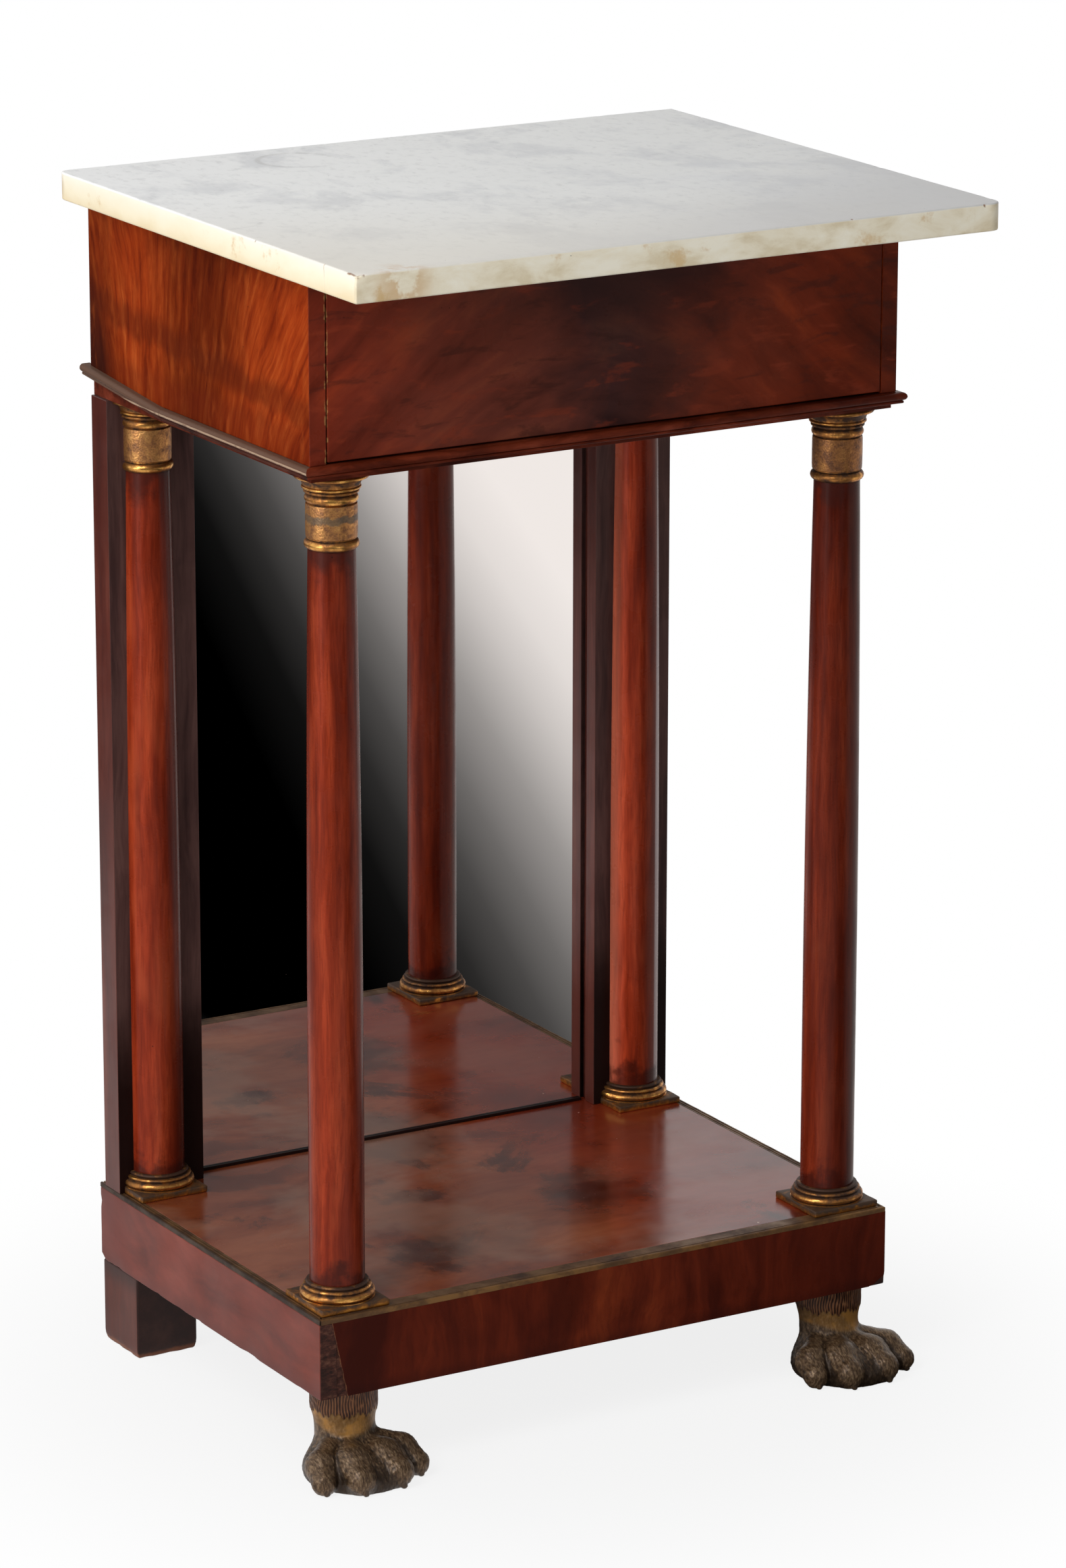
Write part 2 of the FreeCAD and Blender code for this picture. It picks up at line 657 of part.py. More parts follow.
def plinth_shelf():
    thick = dim("shelf_rail_thickness")
    lip_top = sub(shelf_top, dim("brass_thickness"))
    board_bottom = sub(shelf_top, dim("shelf_board_thickness"))
    rail_inner_x = sub(shelf_side, thick)
    rail_inner_y = add(shelf_front, thick)
    back_inner_y = sub(shelf_back, thick)
    lap_y = add(shelf_front, dim("shelf_lap"))
    board_x = sub(shelf_side, dim("brass_side_width"))
    board_front = add(shelf_front, dim("brass_front_width"))

    rail = block("side_rail_web", (neg(shelf_side), neg(rail_inner_x)), (lap_y, shelf_back),
                 (shelf_bottom, board_bottom))
    lip = block("side_rail_lip", (neg(shelf_side), neg(board_x)), (lap_y, shelf_back),
                (board_bottom, lip_top))
    keep_pair(fuse("side_rail", [rail, lip]), "shelf_side_rail")

    front = block("front_rail_blank", (neg(shelf_side), shelf_side), (shelf_front, rail_inner_y),
                  (shelf_bottom, lip_top))
    laps = []
    for name, inner, z in (("web", rail_inner_x, (shelf_bottom, board_bottom)),
                           ("lip", board_x, (board_bottom, lip_top))):
        y = (lap_y, rail_inner_y)
        laps.append(block(f"front_rail_{name}_lap_left", (neg(shelf_side), neg(inner)), y, z))
        laps.append(block(f"front_rail_{name}_lap_right", (inner, shelf_side), y, z))
    keep(cut("front_rail", front, laps), "shelf_front_rail")
    keep(block("back_rail", (neg(rail_inner_x), rail_inner_x), (back_inner_y, shelf_back),
               (shelf_bottom, board_bottom)), "shelf_back_rail")

    board = block("shelf_board_blank", (neg(board_x), board_x), (board_front, shelf_back),
                  (board_bottom, shelf_top))
    tools = []
    for name, sign in (("left", neg), ("right", add)):
        tools.append(cylinder(f"shelf_hole_{name}", add(dim("peg_radius"), dim("peg_play")), sign(column_x),
                              front_column_y, (sub(shelf_top, dim("peg_length")), shelf_top)))
        tools.append(tenon(f"shelf_mortise_{name}", sign, sub(shelf_top, dim("tenon_length")), shelf_top))
    keep(cut("shelf_board", board, tools), "shelf_board")

    z = (lip_top, shelf_top)
    groove_z = (sub(shelf_top, dim("reed_depth")), shelf_top)
    strip = block("brass_side_strip", (neg(shelf_side), neg(board_x)), (shelf_front, shelf_back), z)
    groove_x = sub(shelf_side, dim("reed_inset"))
    reed = block("brass_side_reed", (neg(groove_x), sub(dim("reed_width"), groove_x)),
                 (shelf_front, shelf_back), groove_z)
    mitre = mitre_tool("brass_side_mitre", neg(shelf_side), shelf_front, z, -45)
    keep_pair(cut("brass_side", strip, [reed, mitre]), "brass_edge")
    strip = block("brass_front_strip", (neg(shelf_side), shelf_side), (shelf_front, board_front), z)
    groove_y = add(shelf_front, dim("reed_inset"))
    reed = block("brass_front_reed", (neg(shelf_side), shelf_side),
                 (groove_y, add(groove_y, dim("reed_width"))), groove_z)
    corners = []
    for name, sign, angle in (("left", neg, 45), ("right", add, 45)):
        corners.append(mitre_tool(f"brass_front_mitre_{name}", sign(shelf_side), shelf_front, z, angle))
    square = block("brass_front_middle", (neg(board_x), board_x), (shelf_front, board_front), z)
    mitred = cut("brass_front_mitred", strip, corners)
    keep(cut("brass_front", fuse("brass_front_whole", [mitred, square]), [reed]), "brass_edge_front")

    size = dim("corner_block_size")
    bore_radius = add(dim("foot_peg_radius"), dim("peg_play"))
    bore_z = (shelf_bottom, add(shelf_bottom, dim("foot_peg_length")))
    bores = {"front": (ankle_x, ankle_y), "rear": (block_foot_x, block_foot_y)}
    for row, y in (("front", (rail_inner_y, add(rail_inner_y, size))),
                   ("rear", (sub(back_inner_y, size), back_inner_y))):
        blank = block(f"corner_blank_{row}", (neg(rail_inner_x), sub(size, rail_inner_x)), y,
                      (shelf_bottom, board_bottom))
        bore = cylinder(f"corner_bore_{row}", bore_radius, neg(bores[row][0]), bores[row][1], bore_z)
        keep_pair(cut(f"corner_block_{row}_cut", blank, [bore]), f"corner_block_{row}")


# ---------------------------------------------------------------- feet

ankle_x = sub(shelf_side, dim("ankle_inset_side"))
ankle_y = add(shelf_front, dim("ankle_inset_front"))
block_foot_x = sub(shelf_side, dim("block_foot_inset"), half(dim("block_foot_width")))
block_foot_y = sub(shelf_back, dim("block_foot_inset"), half(dim("block_foot_depth")))


def foot_peg(name, x, y):
    return cylinder(name, dim("foot_peg_radius"), x, y,
                    (shelf_bottom, add(shelf_bottom, dim("foot_peg_length"))))


def block_feet():
    reach_x = half(dim("block_foot_width"))
    reach_y = half(dim("block_foot_depth"))
    x = neg(block_foot_x)
    blank = block("block_foot_blank", (sub(x, reach_x), add(x, reach_x)),
                  (sub(block_foot_y, reach_y), add(block_foot_y, reach_y)), ("0", shelf_bottom))
    keep_pair(fuse("block_foot", [blank, foot_peg("block_foot_peg", x, block_foot_y)]), "block_foot")


def paw_feet():
    """A lion's paw: waisted ankle, domed instep and four toes with claws, cut off flat at the floor."""
    x = neg(ankle_x)
    y = ankle_y
    waist = dim("ankle_waist_height")
    instep_y = sub(y, dim("instep_reach"))
    shapes = [
        cone("ankle_top", dim("ankle_waist_radius"), dim("ankle_radius"), x, y, (waist, shelf_bottom)),
        cone("ankle_heel", dim("ankle_heel_radius"), dim("ankle_waist_radius"), x, y, ("0", waist)),
        ball("instep", dim("instep_radius"), x, instep_y, sub(dim("instep_height"), dim("instep_radius"))),
    ]
    for side, sign in (("left", "-1"), ("right", "1")):
        for row in ("inner", "outer"):
            name = f"{row}_{side}"
            toe_x = add(x, f"{sign} * {dim(f'toe_{row}_offset')}")
            toe_y = sub(y, dim(f"toe_{row}_reach"))
            pad_y = sub(toe_y, dim("toe_pad_reach"))
            pad_z = sub(dim("toe_pad_radius"), dim("toe_pad_sink"))
            shapes.append(ball(f"knuckle_{name}", dim("knuckle_radius"), toe_x, toe_y,
                               sub(dim("toe_height"), dim("knuckle_radius"))))
            shapes.append(ball(f"toe_pad_{name}", dim("toe_pad_radius"), toe_x, pad_y, pad_z))
            root = sub(pad_y, half(dim("toe_pad_radius")))
            claw = doc.addObject("Part::Cone", f"claw_{name}")
            claw.setExpression("Radius1", dim("claw_radius"))
            claw.setExpression("Radius2", dim("claw_tip_radius"))
            claw.setExpression("Height", add(half(dim("toe_pad_radius")), dim("claw_length")))
            claw.Placement.Rotation = FreeCAD.Rotation(FreeCAD.Vector(1, 0, 0), 90)
            shapes.append(place(claw, toe_x, root, dim("claw_height")))
    reach = add(dim("ankle_heel_radius"), dim("toe_outer_offset"), dim("toe_inner_reach"))
    floor = block("paw_floor", (sub(x, reach), add(x, reach)), (sub(y, reach), add(y, reach)),
                  (neg(reach), "0"))
    shapes.append(foot_peg("paw_peg", x, y))
    keep_pair(cut("paw_foot", fuse("paw_form", shapes), [floor]), "paw_foot")


# ---------------------------------------------------------------- build, check and export

marble_top()
frieze()
soffit()
moulding()
drawer()
for row, y, engaged in (("front", front_column_y, False), ("rear", rear_column_y, True)):
    for side, sign in (("left", neg), ("right", add)):
        column(f"{row}_{side}", sign, y, engaged)
mirror_back_assembly()
plinth_shelf()
block_feet()
paw_feet()
doc.recompute()

for thing in doc.Objects:
    faults = [state for state in thing.State if state in ("Invalid", "Error")]
    if faults:
        raise RuntimeError(f"{thing.Name} failed to build: {faults}")
labels = [node.Label for node in nodes]
if len(set(labels)) != len(labels):
    raise RuntimeError("two sub-parts share a name")
for node in nodes:
    if node.Shape.isNull() or not node.Shape.isValid() or not node.Shape.Solids:
        raise RuntimeError(f"{node.Label} has no valid solid")

os.makedirs("parts", exist_ok=True)
for node in nodes:
    node.Shape.exportStep(f"parts/{node.Label}.step")
    box = node.Shape.BoundBox
    print(f"{node.Label}: {len(node.Shape.Solids)} solid, volume {node.Shape.Volume / 1000:.1f} cm3, "
          f"x {box.XMin:.1f}..{box.XMax:.1f}, y {box.YMin:.1f}..{box.YMax:.1f}, "
          f"z {box.ZMin:.1f}..{box.ZMax:.1f}")
print(len(nodes), "nodes")
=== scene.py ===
import math

import bmesh
import bpy
import numpy as np
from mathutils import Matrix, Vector, noise


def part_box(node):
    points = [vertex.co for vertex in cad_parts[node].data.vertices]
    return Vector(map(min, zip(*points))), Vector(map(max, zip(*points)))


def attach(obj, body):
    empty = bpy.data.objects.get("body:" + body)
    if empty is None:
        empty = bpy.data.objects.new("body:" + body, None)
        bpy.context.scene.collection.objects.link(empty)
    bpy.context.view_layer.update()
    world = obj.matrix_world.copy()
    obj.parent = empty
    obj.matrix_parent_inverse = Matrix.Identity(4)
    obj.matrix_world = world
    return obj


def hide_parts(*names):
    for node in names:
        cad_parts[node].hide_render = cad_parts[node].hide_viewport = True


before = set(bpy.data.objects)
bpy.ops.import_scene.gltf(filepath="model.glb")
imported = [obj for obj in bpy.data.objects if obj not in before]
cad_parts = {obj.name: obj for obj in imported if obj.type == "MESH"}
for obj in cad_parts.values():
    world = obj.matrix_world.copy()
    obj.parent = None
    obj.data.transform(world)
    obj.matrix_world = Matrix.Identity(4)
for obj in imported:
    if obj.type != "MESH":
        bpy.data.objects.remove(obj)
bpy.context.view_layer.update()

# Pier table: the finish of every surface, on pieces that stand where the CAD nodes stand.
# Pieces are made in millimetres in the frame of the table; MM turns them into Blender's metres.
# Materials, lamps and camera are placed in metres.
MM = 0.001
QUARTER_TURN = math.pi / 2
SIDES = (("left", -1), ("right", 1))


def node_box(name):
    low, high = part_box(name)
    return np.array(low) / MM, np.array(high) / MM


# ---- mesh tools


def make_piece(name, points, faces, material, slot, body="carcass", replaces=(), sharp=40, marks=None,
               flats=False):
    """A piece of the table from points in millimetres. marks are named numbers kept on each point;
    flats keeps the flat faces of a rounded board flat in the light."""
    mesh = bpy.data.meshes.new(name)
    mesh.from_pydata((np.asarray(points, float) * MM).tolist(), [], [list(face) for face in faces])
    mesh.validate()
    mesh.shade_smooth()
    mesh.set_sharp_from_angle(angle=math.radians(sharp))
    for mark, values in (marks or {}).items():
        mesh.attributes.new(mark, "FLOAT", "POINT").data.foreach_set("value", np.asarray(values, np.float32))
    piece = bpy.data.objects.new(name, mesh)
    bpy.context.scene.collection.objects.link(piece)
    for entry in material if isinstance(material, (list, tuple)) else [material]:
        mesh.materials.append(entry)
    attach(piece, body)
    if replaces:
        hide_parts(*replaces)
    if flats:
        weigh_normals(piece)
    return piece


def weigh_normals(piece):
    piece.modifiers.new("flats", "WEIGHTED_NORMAL").keep_sharp = True


def finish_some(piece, test):
    """Gives the piece's second material to the faces that pass the test and its first to the others."""
    for polygon in piece.data.polygons:
        polygon.material_index = int(bool(test(polygon)))


def rounded_box(low, high, radius, cell=None):
    """Points and quads of a box with rounded edges; cell is the spacing of further lines on its faces."""
    low, high = np.asarray(low, float), np.asarray(high, float)
    radius = min(radius, (high - low).min() / 2.02)
    quirk = radius * (1 - math.tan(math.pi / 8))
    lines = []
    for a, b in zip(low, high):
        count = max(1, round((b - a - 2 * radius) / cell)) if cell else 1
        middle = np.linspace(a + radius, b - radius, count + 1)
        lines.append(np.concatenate([[a, a + quirk], middle, [b - quirk, b]]))
    index, points, faces = {}, [], []

    def corner(key):
        if key not in index:
            index[key] = len(points)
            points.append([lines[axis][key[axis]] for axis in range(3)])
        return index[key]

    for axis in range(3):
        u, v = (axis + 1) % 3, (axis + 2) % 3
        for end in (0, len(lines[axis]) - 1):
            for i in range(len(lines[u]) - 1):
                for j in range(len(lines[v]) - 1):
                    ring = []
                    for di, dj in ((0, 0), (1, 0), (1, 1), (0, 1)):
                        key = [0, 0, 0]
                        key[axis], key[u], key[v] = end, i + di, j + dj
                        ring.append(corner(tuple(key)))
                    faces.append(ring if end else ring[::-1])
    points = np.array(points)
    anchor = np.clip(points, low + radius, high - radius)
    away = points - anchor
    return anchor + radius * away / np.linalg.norm(away, axis=1, keepdims=True), faces


def unit(values):
    """Numbers held between 0 and 1."""
    return np.clip(values, 0, 1)


def noise_at(points, size, seed=0.0):
    """Smooth noise from -1 to 1 at points in millimetres; size is that of its patches."""
    shift = Vector((seed, seed * 1.7, -seed))
    return np.array([noise.noise(Vector(p) / size + shift) for p in points])


def wear_edges(points, low, high, depth, size, seed=0.0, reach=4.0):
    """Rubs the edges of a box unevenly: points near two of its faces move inwards by up to depth."""
    low, high = np.asarray(low, float), np.asarray(high, float)
    gap = np.minimum(points - low, high - points)
    second = np.sort(gap, axis=1)[:, 1]
    near = unit(1 - second / reach)
    rub = unit(noise_at(points, size, seed) * 1.6 - 0.1) ** 2
    inward = np.sign((low + high) / 2 - points) * (gap < reach)
    return points + inward * (depth * near * rub)[:, None]


def arc(centre_r, centre_z, radius, start, end, count=8):
    """Points (r, z) on an arc, angles in degrees from the outward direction."""
    angles = np.radians(np.linspace(start, end, count))
    return [(centre_r + radius * math.cos(a), centre_z + radius * math.sin(a)) for a in angles]


def bead(radius, low, high, count=9):
    """The half-round of a turned ring of that outer radius between two heights."""
    rim = (high - low) / 2
    return arc(radius - rim, low + rim, rim, -90, 90, count)


def tube_faces(rows, count):
    """Quads between the rings of a form that has rows rings of count points each."""
    return [[row * count + i, row * count + (i + 1) % count, (row + 1) * count + (i + 1) % count,
             (row + 1) * count + i] for row in range(rows - 1) for i in range(count)]


def lathe(profile, x, y, segments=96, wobble=0.0, seed=0.0):
    """Points and quads of a turned form round the upright axis at x, y; the profile runs upwards."""
    turns = np.linspace(0, 2 * math.pi, segments, endpoint=False)
    points = np.array([(x + r * math.cos(turn), y + r * math.sin(turn), z)
                       for r, z in profile for turn in turns])
    if wobble:
        away = points - np.array([x, y, 0])
        away[:, 2] = 0
        away /= np.linalg.norm(away, axis=1, keepdims=True)
        points += away * (noise_at(points, 9.0, seed) * wobble)[:, None]
    rows = len(profile)
    ends = [list(range(segments))[::-1], [(rows - 1) * segments + i for i in range(segments)]]
    return points, tube_faces(rows, segments) + ends


def recess_marks(profile, points_per_row):
    """How deep each ring of a profile lies below its neighbourhood, from 0 on crests to 1 in quirks."""
    r, z = np.array(profile).T
    marks = [unit((r[np.abs(z - z[i]) < 3.0].max() - r[i]) / 2.0) for i in range(len(r))]
    return np.repeat(marks, points_per_row)


def cut_behind(piece, y):
    """Takes away what lies behind the plane y and closes the cut."""
    shape = bmesh.new()
    shape.from_mesh(piece.data)
    everything = shape.verts[:] + shape.edges[:] + shape.faces[:]
    done = bmesh.ops.bisect_plane(shape, geom=everything, plane_co=(0, y * MM, 0), plane_no=(0, 1, 0),
                                  clear_outer=True)
    bmesh.ops.holes_fill(shape, edges=[e for e in done["geom_cut"] if isinstance(e, bmesh.types.BMEdge)])
    shape.to_mesh(piece.data)
    shape.free()
    piece.data.set_sharp_from_angle(angle=math.radians(40))


def run(start, end, count, outward, first=None, last=None):
    """Stations (origin, outward direction) of a straight strip; first and last mitre its ends."""
    start, end = np.asarray(start, float), np.asarray(end, float)
    ways = [first or outward] + [outward] * (count - 1) + [last or outward]
    return [(start + (end - start) * k / count, way) for k, way in enumerate(ways)]


def extrude(section, stations):
    """A strip: the closed section (outward, up) carried through its stations."""
    points = [np.asarray(origin, float) + np.asarray(outward, float) * out + np.array([0, 0, up])
              for origin, outward in stations for out, up in section]
    count, rows = len(section), len(stations)
    faces = [[a, d, c, b] for a, b, c, d in tube_faces(rows, count)]
    faces += [list(range(count)), [(rows - 1) * count + i for i in range(count)][::-1]]
    return np.array(points), faces


def prism(outline, bottom, top):
    """Points and faces of an upright solid over a closed outline (x, y), given anticlockwise."""
    count = len(outline)
    points = [(x, y, z) for z in (bottom, top) for x, y in outline]
    ends = [list(range(count))[::-1], [i + count for i in range(count)]]
    return np.array(points, float), tube_faces(2, count) + ends


def ease_edges(piece, width, segments=2):
    """Rounds every edge of a piece by a width in millimetres."""
    shape = bmesh.new()
    shape.from_mesh(piece.data)
    bmesh.ops.bevel(shape, geom=shape.edges[:], offset=width * MM, segments=segments, affect="EDGES",
                    profile=0.5, clamp_overlap=True)
    shape.to_mesh(piece.data)
    shape.free()
    piece.data.shade_smooth()
    piece.data.set_sharp_from_angle(angle=math.radians(60))
    weigh_normals(piece)


# ---- material tools


def rgb(red, green, blue):
    """A colour given as it looks on a screen, 0 to 255, as Blender's linear colour."""
    shades = [v / 255 for v in (red, green, blue)]
    return tuple(v / 12.92 if v <= 0.04045 else ((v + 0.055) / 1.055) ** 2.4 for v in shades) + (1.0,)


class Flow:
    """A number or colour on its way through a material; reckoning with it adds nodes."""

    def __init__(self, look, socket):
        self.look, self.socket = look, socket

    def reckon(self, kind, *values):
        made = self.look.tree.nodes.new("ShaderNodeMath")
        made.operation = kind
        for socket, value in zip(made.inputs, values):
            self.look.feed(socket, value)
        return Flow(self.look, made.outputs[0])

    def __rsub__(self, other):
        return self.reckon("SUBTRACT", other, self)

    def span(self, start, end, most=1.0, least=0.0, kind="SMOOTHSTEP"):
        """Goes smoothly from least, where the value is start, to most, where it is end."""
        ends = {"Value": self, "From Min": start, "From Max": end, "To Min": least, "To Max": most}
        return self.look.node("ShaderNodeMapRange", ends, interpolation_type=kind)

    def ramp(self, *stops):
        """Colours along the value: each stop is a place with a screen colour, or with one linear grey."""
        made = self.look.tree.nodes.new("ShaderNodeValToRGB")
        elements = made.color_ramp.elements
        while len(elements) < len(stops):
            elements.new(0.5)
        for element, (place, *tone) in zip(elements, stops):
            element.position = place
            element.color = rgb(*tone) if len(tone) == 3 else (*tone * 3, 1)
        self.look.feed(made.inputs[0], self)
        return Flow(self.look, made.outputs[0])

    def stripes(self, start, end, *stops):
        """A ramp laid evenly from start to end."""
        return self.span(start, end, kind="LINEAR").ramp(*stops)


# a + b, a - b and so on with a flow in front
for symbol, kind in (("add", "ADD"), ("sub", "SUBTRACT"), ("mul", "MULTIPLY"), ("truediv", "DIVIDE"),
                     ("pow", "POWER"), ("abs", "ABSOLUTE")):
    setattr(Flow, f"__{symbol}__", lambda self, *other, kind=kind: self.reckon(kind, self, *other))


class Look:
    """A material, or the world, being made. x, y and z are places on the table in metres, and colour
    is what the surface has been given so far."""

    def __init__(self, owner, source="Object"):
        owner.use_nodes = True
        self.owner, self.tree, self.colour = owner, owner.node_tree, None
        self.tree.nodes.clear()
        self.place = self.node("ShaderNodeTexCoord", {}, out=source)
        self.x, self.y, self.z = [self.node("ShaderNodeSeparateXYZ", {0: self.place}, out=k) for k in range(3)]

    def node(self, kind, values, out=0, **settings):
        made = self.tree.nodes.new(kind)
        for key, value in settings.items():
            setattr(made, key, value)
        for key, value in values.items():
            self.feed(made.inputs[key], value)
        return Flow(self, made.outputs[out])

    def feed(self, socket, value):
        if isinstance(value, Flow):
            self.tree.links.new(value.socket, socket)
        elif value is not None:
            socket.default_value = value

    def coords(self, at=None, scale=(1, 1, 1), turn=(0, 0, 0), shift=(0, 0, 0)):
        """Places turned (degrees), scaled and shifted."""
        turned = tuple(math.radians(a) for a in turn)
        return self.node("ShaderNodeMapping", {"Vector": at or self.place, "Location": shift,
                                               "Rotation": turned, "Scale": scale})

    def noise(self, density, detail=4.0, rough=0.55, warp=0.0, out=0, at=None, **mapping):
        where = self.coords(at, **mapping) if mapping else at or self.place
        return self.node("ShaderNodeTexNoise", {"Vector": where, "Scale": density, "Detail": detail,
                                                "Roughness": rough, "Distortion": warp}, out=out)

    def cells(self, density, at=None, **mapping):
        where = self.coords(at, **mapping) if mapping else at or self.place
        return self.node("ShaderNodeTexVoronoi", {"Vector": where, "Scale": density}, out="Distance")

    def crumbs(self, density, rim, patch, picked, at=None, **mapping):
        """Small spots with a soft rim, left only where a coarse noise exceeds what is picked."""
        spots = self.cells(density, at, **mapping).span(*rim)
        return spots * self.noise(patch, 2.0, at=at).span(*picked)

    def distance(self, *point):
        return self.node("ShaderNodeVectorMath", {0: self.place, 1: point}, out=1, operation="DISTANCE")

    def combine(self, x, y, z):
        return self.node("ShaderNodeCombineXYZ", {0: x, 1: y, 2: z})

    def mix(self, share, a, b, kind="MIX"):
        made = self.tree.nodes.new("ShaderNodeMix")
        made.data_type = "RGBA"
        made.blend_type = kind
        for socket, value in zip((made.inputs[0], made.inputs[6], made.inputs[7]), (share, a, b)):
            self.feed(socket, value)
        return Flow(self, made.outputs[2])

    def lay(self, share, *tone, kind="MIX"):
        """Lays a flow or a screen colour over the colour so far."""
        self.colour = self.mix(share, self.colour, rgb(*tone) if len(tone) == 3 else tone[0], kind)

    def tint(self, share, *tone):
        """Multiplies the colour so far by a flow or a screen colour."""
        self.lay(share, *tone, kind="MULTIPLY")

    def mark(self, name):
        return self.node("ShaderNodeAttribute", {}, out=2, attribute_name=name)

    def bump(self, height, distance, strength=1.0, under=None):
        """Relief: the height, 0 to 1, stands for a distance in millimetres."""
        return self.node("ShaderNodeBump", {"Height": height, "Distance": distance * MM,
                                            "Strength": strength, "Normal": under})

    def surface(self, roughness, metal=0.0, normal=None, shine=0.5):
        shader = self.node("ShaderNodeBsdfPrincipled",
                           {"Base Color": self.colour, "Roughness": roughness, "Metallic": metal,
                            "Normal": normal, "Specular IOR Level": shine})
        self.end("ShaderNodeOutputMaterial", shader)
        return self.owner

    def end(self, kind, shader):
        self.feed(self.tree.nodes.new(kind).inputs["Surface"], shader)


def new_look(name):
    return Look(bpy.data.materials.new(name))


GRAIN_STRETCH = {"X": (0.06, 1, 1), "Y": (1, 0.06, 1), "Z": (1, 1, 0.06)}
VENEER_STOPS = (0.38, 0.46, 0.54, 0.66)


def veneer(name, tones, grain="Z", bend=None, warp=0.05, streak=60.0, figure=14.0, figure_share=0.5,
           figure_stretch=0.35, blotch=0.4, stain=(30, 14, 12), roughness=0.32, shine=0.15, pores=0.3,
           strokes=0.0, nicks=0.5, dust=0.0, dust_tone=(120, 100, 95), marks=None, seed=0.0):
    """Polished mahogany: streaks along the grain, figure, stains, pores, dents and dust.
    bend(look) may curve the grain; marks(look) lays further marks over the wood."""
    look = new_look(name)
    plain = look.coords(shift=(seed, seed * 0.7, seed * 1.3))
    drift = look.noise(9.0, 3.0, 0.5, 0.4, out=1, at=plain)
    bent = look.node("ShaderNodeVectorMath", {0: drift, 1: (warp,) * 3, 2: bend(look) if bend else plain},
                     operation="MULTIPLY_ADD")
    narrow = GRAIN_STRETCH[grain]
    wide = tuple(1.0 if s == 1 else figure_stretch for s in narrow)
    along = look.coords(bent, scale=narrow, shift=(seed, 0, seed))
    streaks = look.noise(streak, 6.0, 0.6, 0.2, at=along)
    figured = look.noise(figure, 5.0, 0.58, 0.6, at=bent, scale=wide, shift=(0, seed, 0))
    mixed = streaks * (1 - figure_share) + figured * figure_share
    look.colour = mixed.ramp(*[(place, *tone) for place, tone in zip(VENEER_STOPS, tones)])
    fine = look.noise(streak * 7, 4.0, 0.6, at=along)
    look.lay(fine.span(0.45, 0.66, pores), *tones[0])
    look.lay(look.noise(6.5, 5.0, 0.6, 0.5, at=plain).span(0.5, 0.66, blotch), *stain)
    if strokes:
        brushed = look.noise(650.0, 3.0, 0.6, scale=(1, 1, 0.05), turn=(-28, 24, 0))
        look.lay(brushed.span(0.58, 0.7, strokes), *tones[-1])
    if marks:
        marks(look)
    if dust:
        look.lay(look.noise(60.0, 6.0, 0.65, at=plain).span(0.35, 0.75, dust), *dust_tone)
    look.lay(look.crumbs(85.0, (0.06, 0.02), 30.0, (0.55, 0.6, nicks), at=plain), 24, 12, 10)
    gloss = look.noise(30.0, 4.0, 0.6, at=plain).span(0.35, 0.7, roughness + 0.08, roughness - 0.04)
    relief = look.bump(look.noise(22.0, 3.0, at=plain), 0.4, 0.2, look.bump(fine, 0.04, 0.35))
    return look.surface(gloss, normal=relief, shine=shine)


# ---- mahogany


def fan_spread(look):
    return look.z * -2.6 + 2.94


def fan(look):
    """Grain that opens out downwards on the sides of the frieze."""
    return look.combine(0.0, (look.y - 0.1) * fan_spread(look), look.z)


def side_marks(look):
    """The bright side of the frieze: dark heart, dark rear edge and foot, with patches of painted sheen."""
    ragged = look.noise(34.0, 6.0, 0.62, scale=(1, 1, 0.35))
    across = (ragged - 0.5) * 0.1 + (0.1 - look.y) * fan_spread(look)
    look.tint(1.0, across.stripes(-0.115, 0.2, (0.0, 0.3), (0.14, 0.62), (0.27, 0.95), (0.38, 0.62),
                                  (0.5, 0.36), (0.58, 0.42), (0.7, 0.72), (0.84, 1.0), (1.0, 0.8)))
    slope = ragged * 0.03 + (look.y * -0.09 + look.z)
    look.lay(slope.span(0.786, 0.795) * slope.span(0.815, 0.803) * 0.5, 80, 26, 9)
    look.lay((ragged * 0.02 + look.z).span(0.782, 0.768, 0.45), 94, 28, 9)
    edge = ragged * 0.05 + look.y
    look.lay(look.z.span(0.81, 0.75) * edge.span(0.19, 0.225) * 0.95, 34, 12, 9)
    look.lay(edge.span(0.2, 0.235) * look.z.span(0.84, 0.78) * 0.7, 62, 22, 12)
    # painted sheen: pale orange patches stand in for highlights on the lacquer
    glow = look.noise(90.0, 4.0, 0.6, scale=(1, 1, 0.3), shift=(2, 0.13, 0), turn=(-12, 0, 0))
    look.lay(glow.span(0.52, 0.74, 0.22), 182, 88, 36)


def plume(look):
    """Grain that falls away on both sides of the drawer front's middle."""
    return look.combine(look.x, 0.0, look.z + abs(look.x + 0.03) ** 1.3 * 0.9)


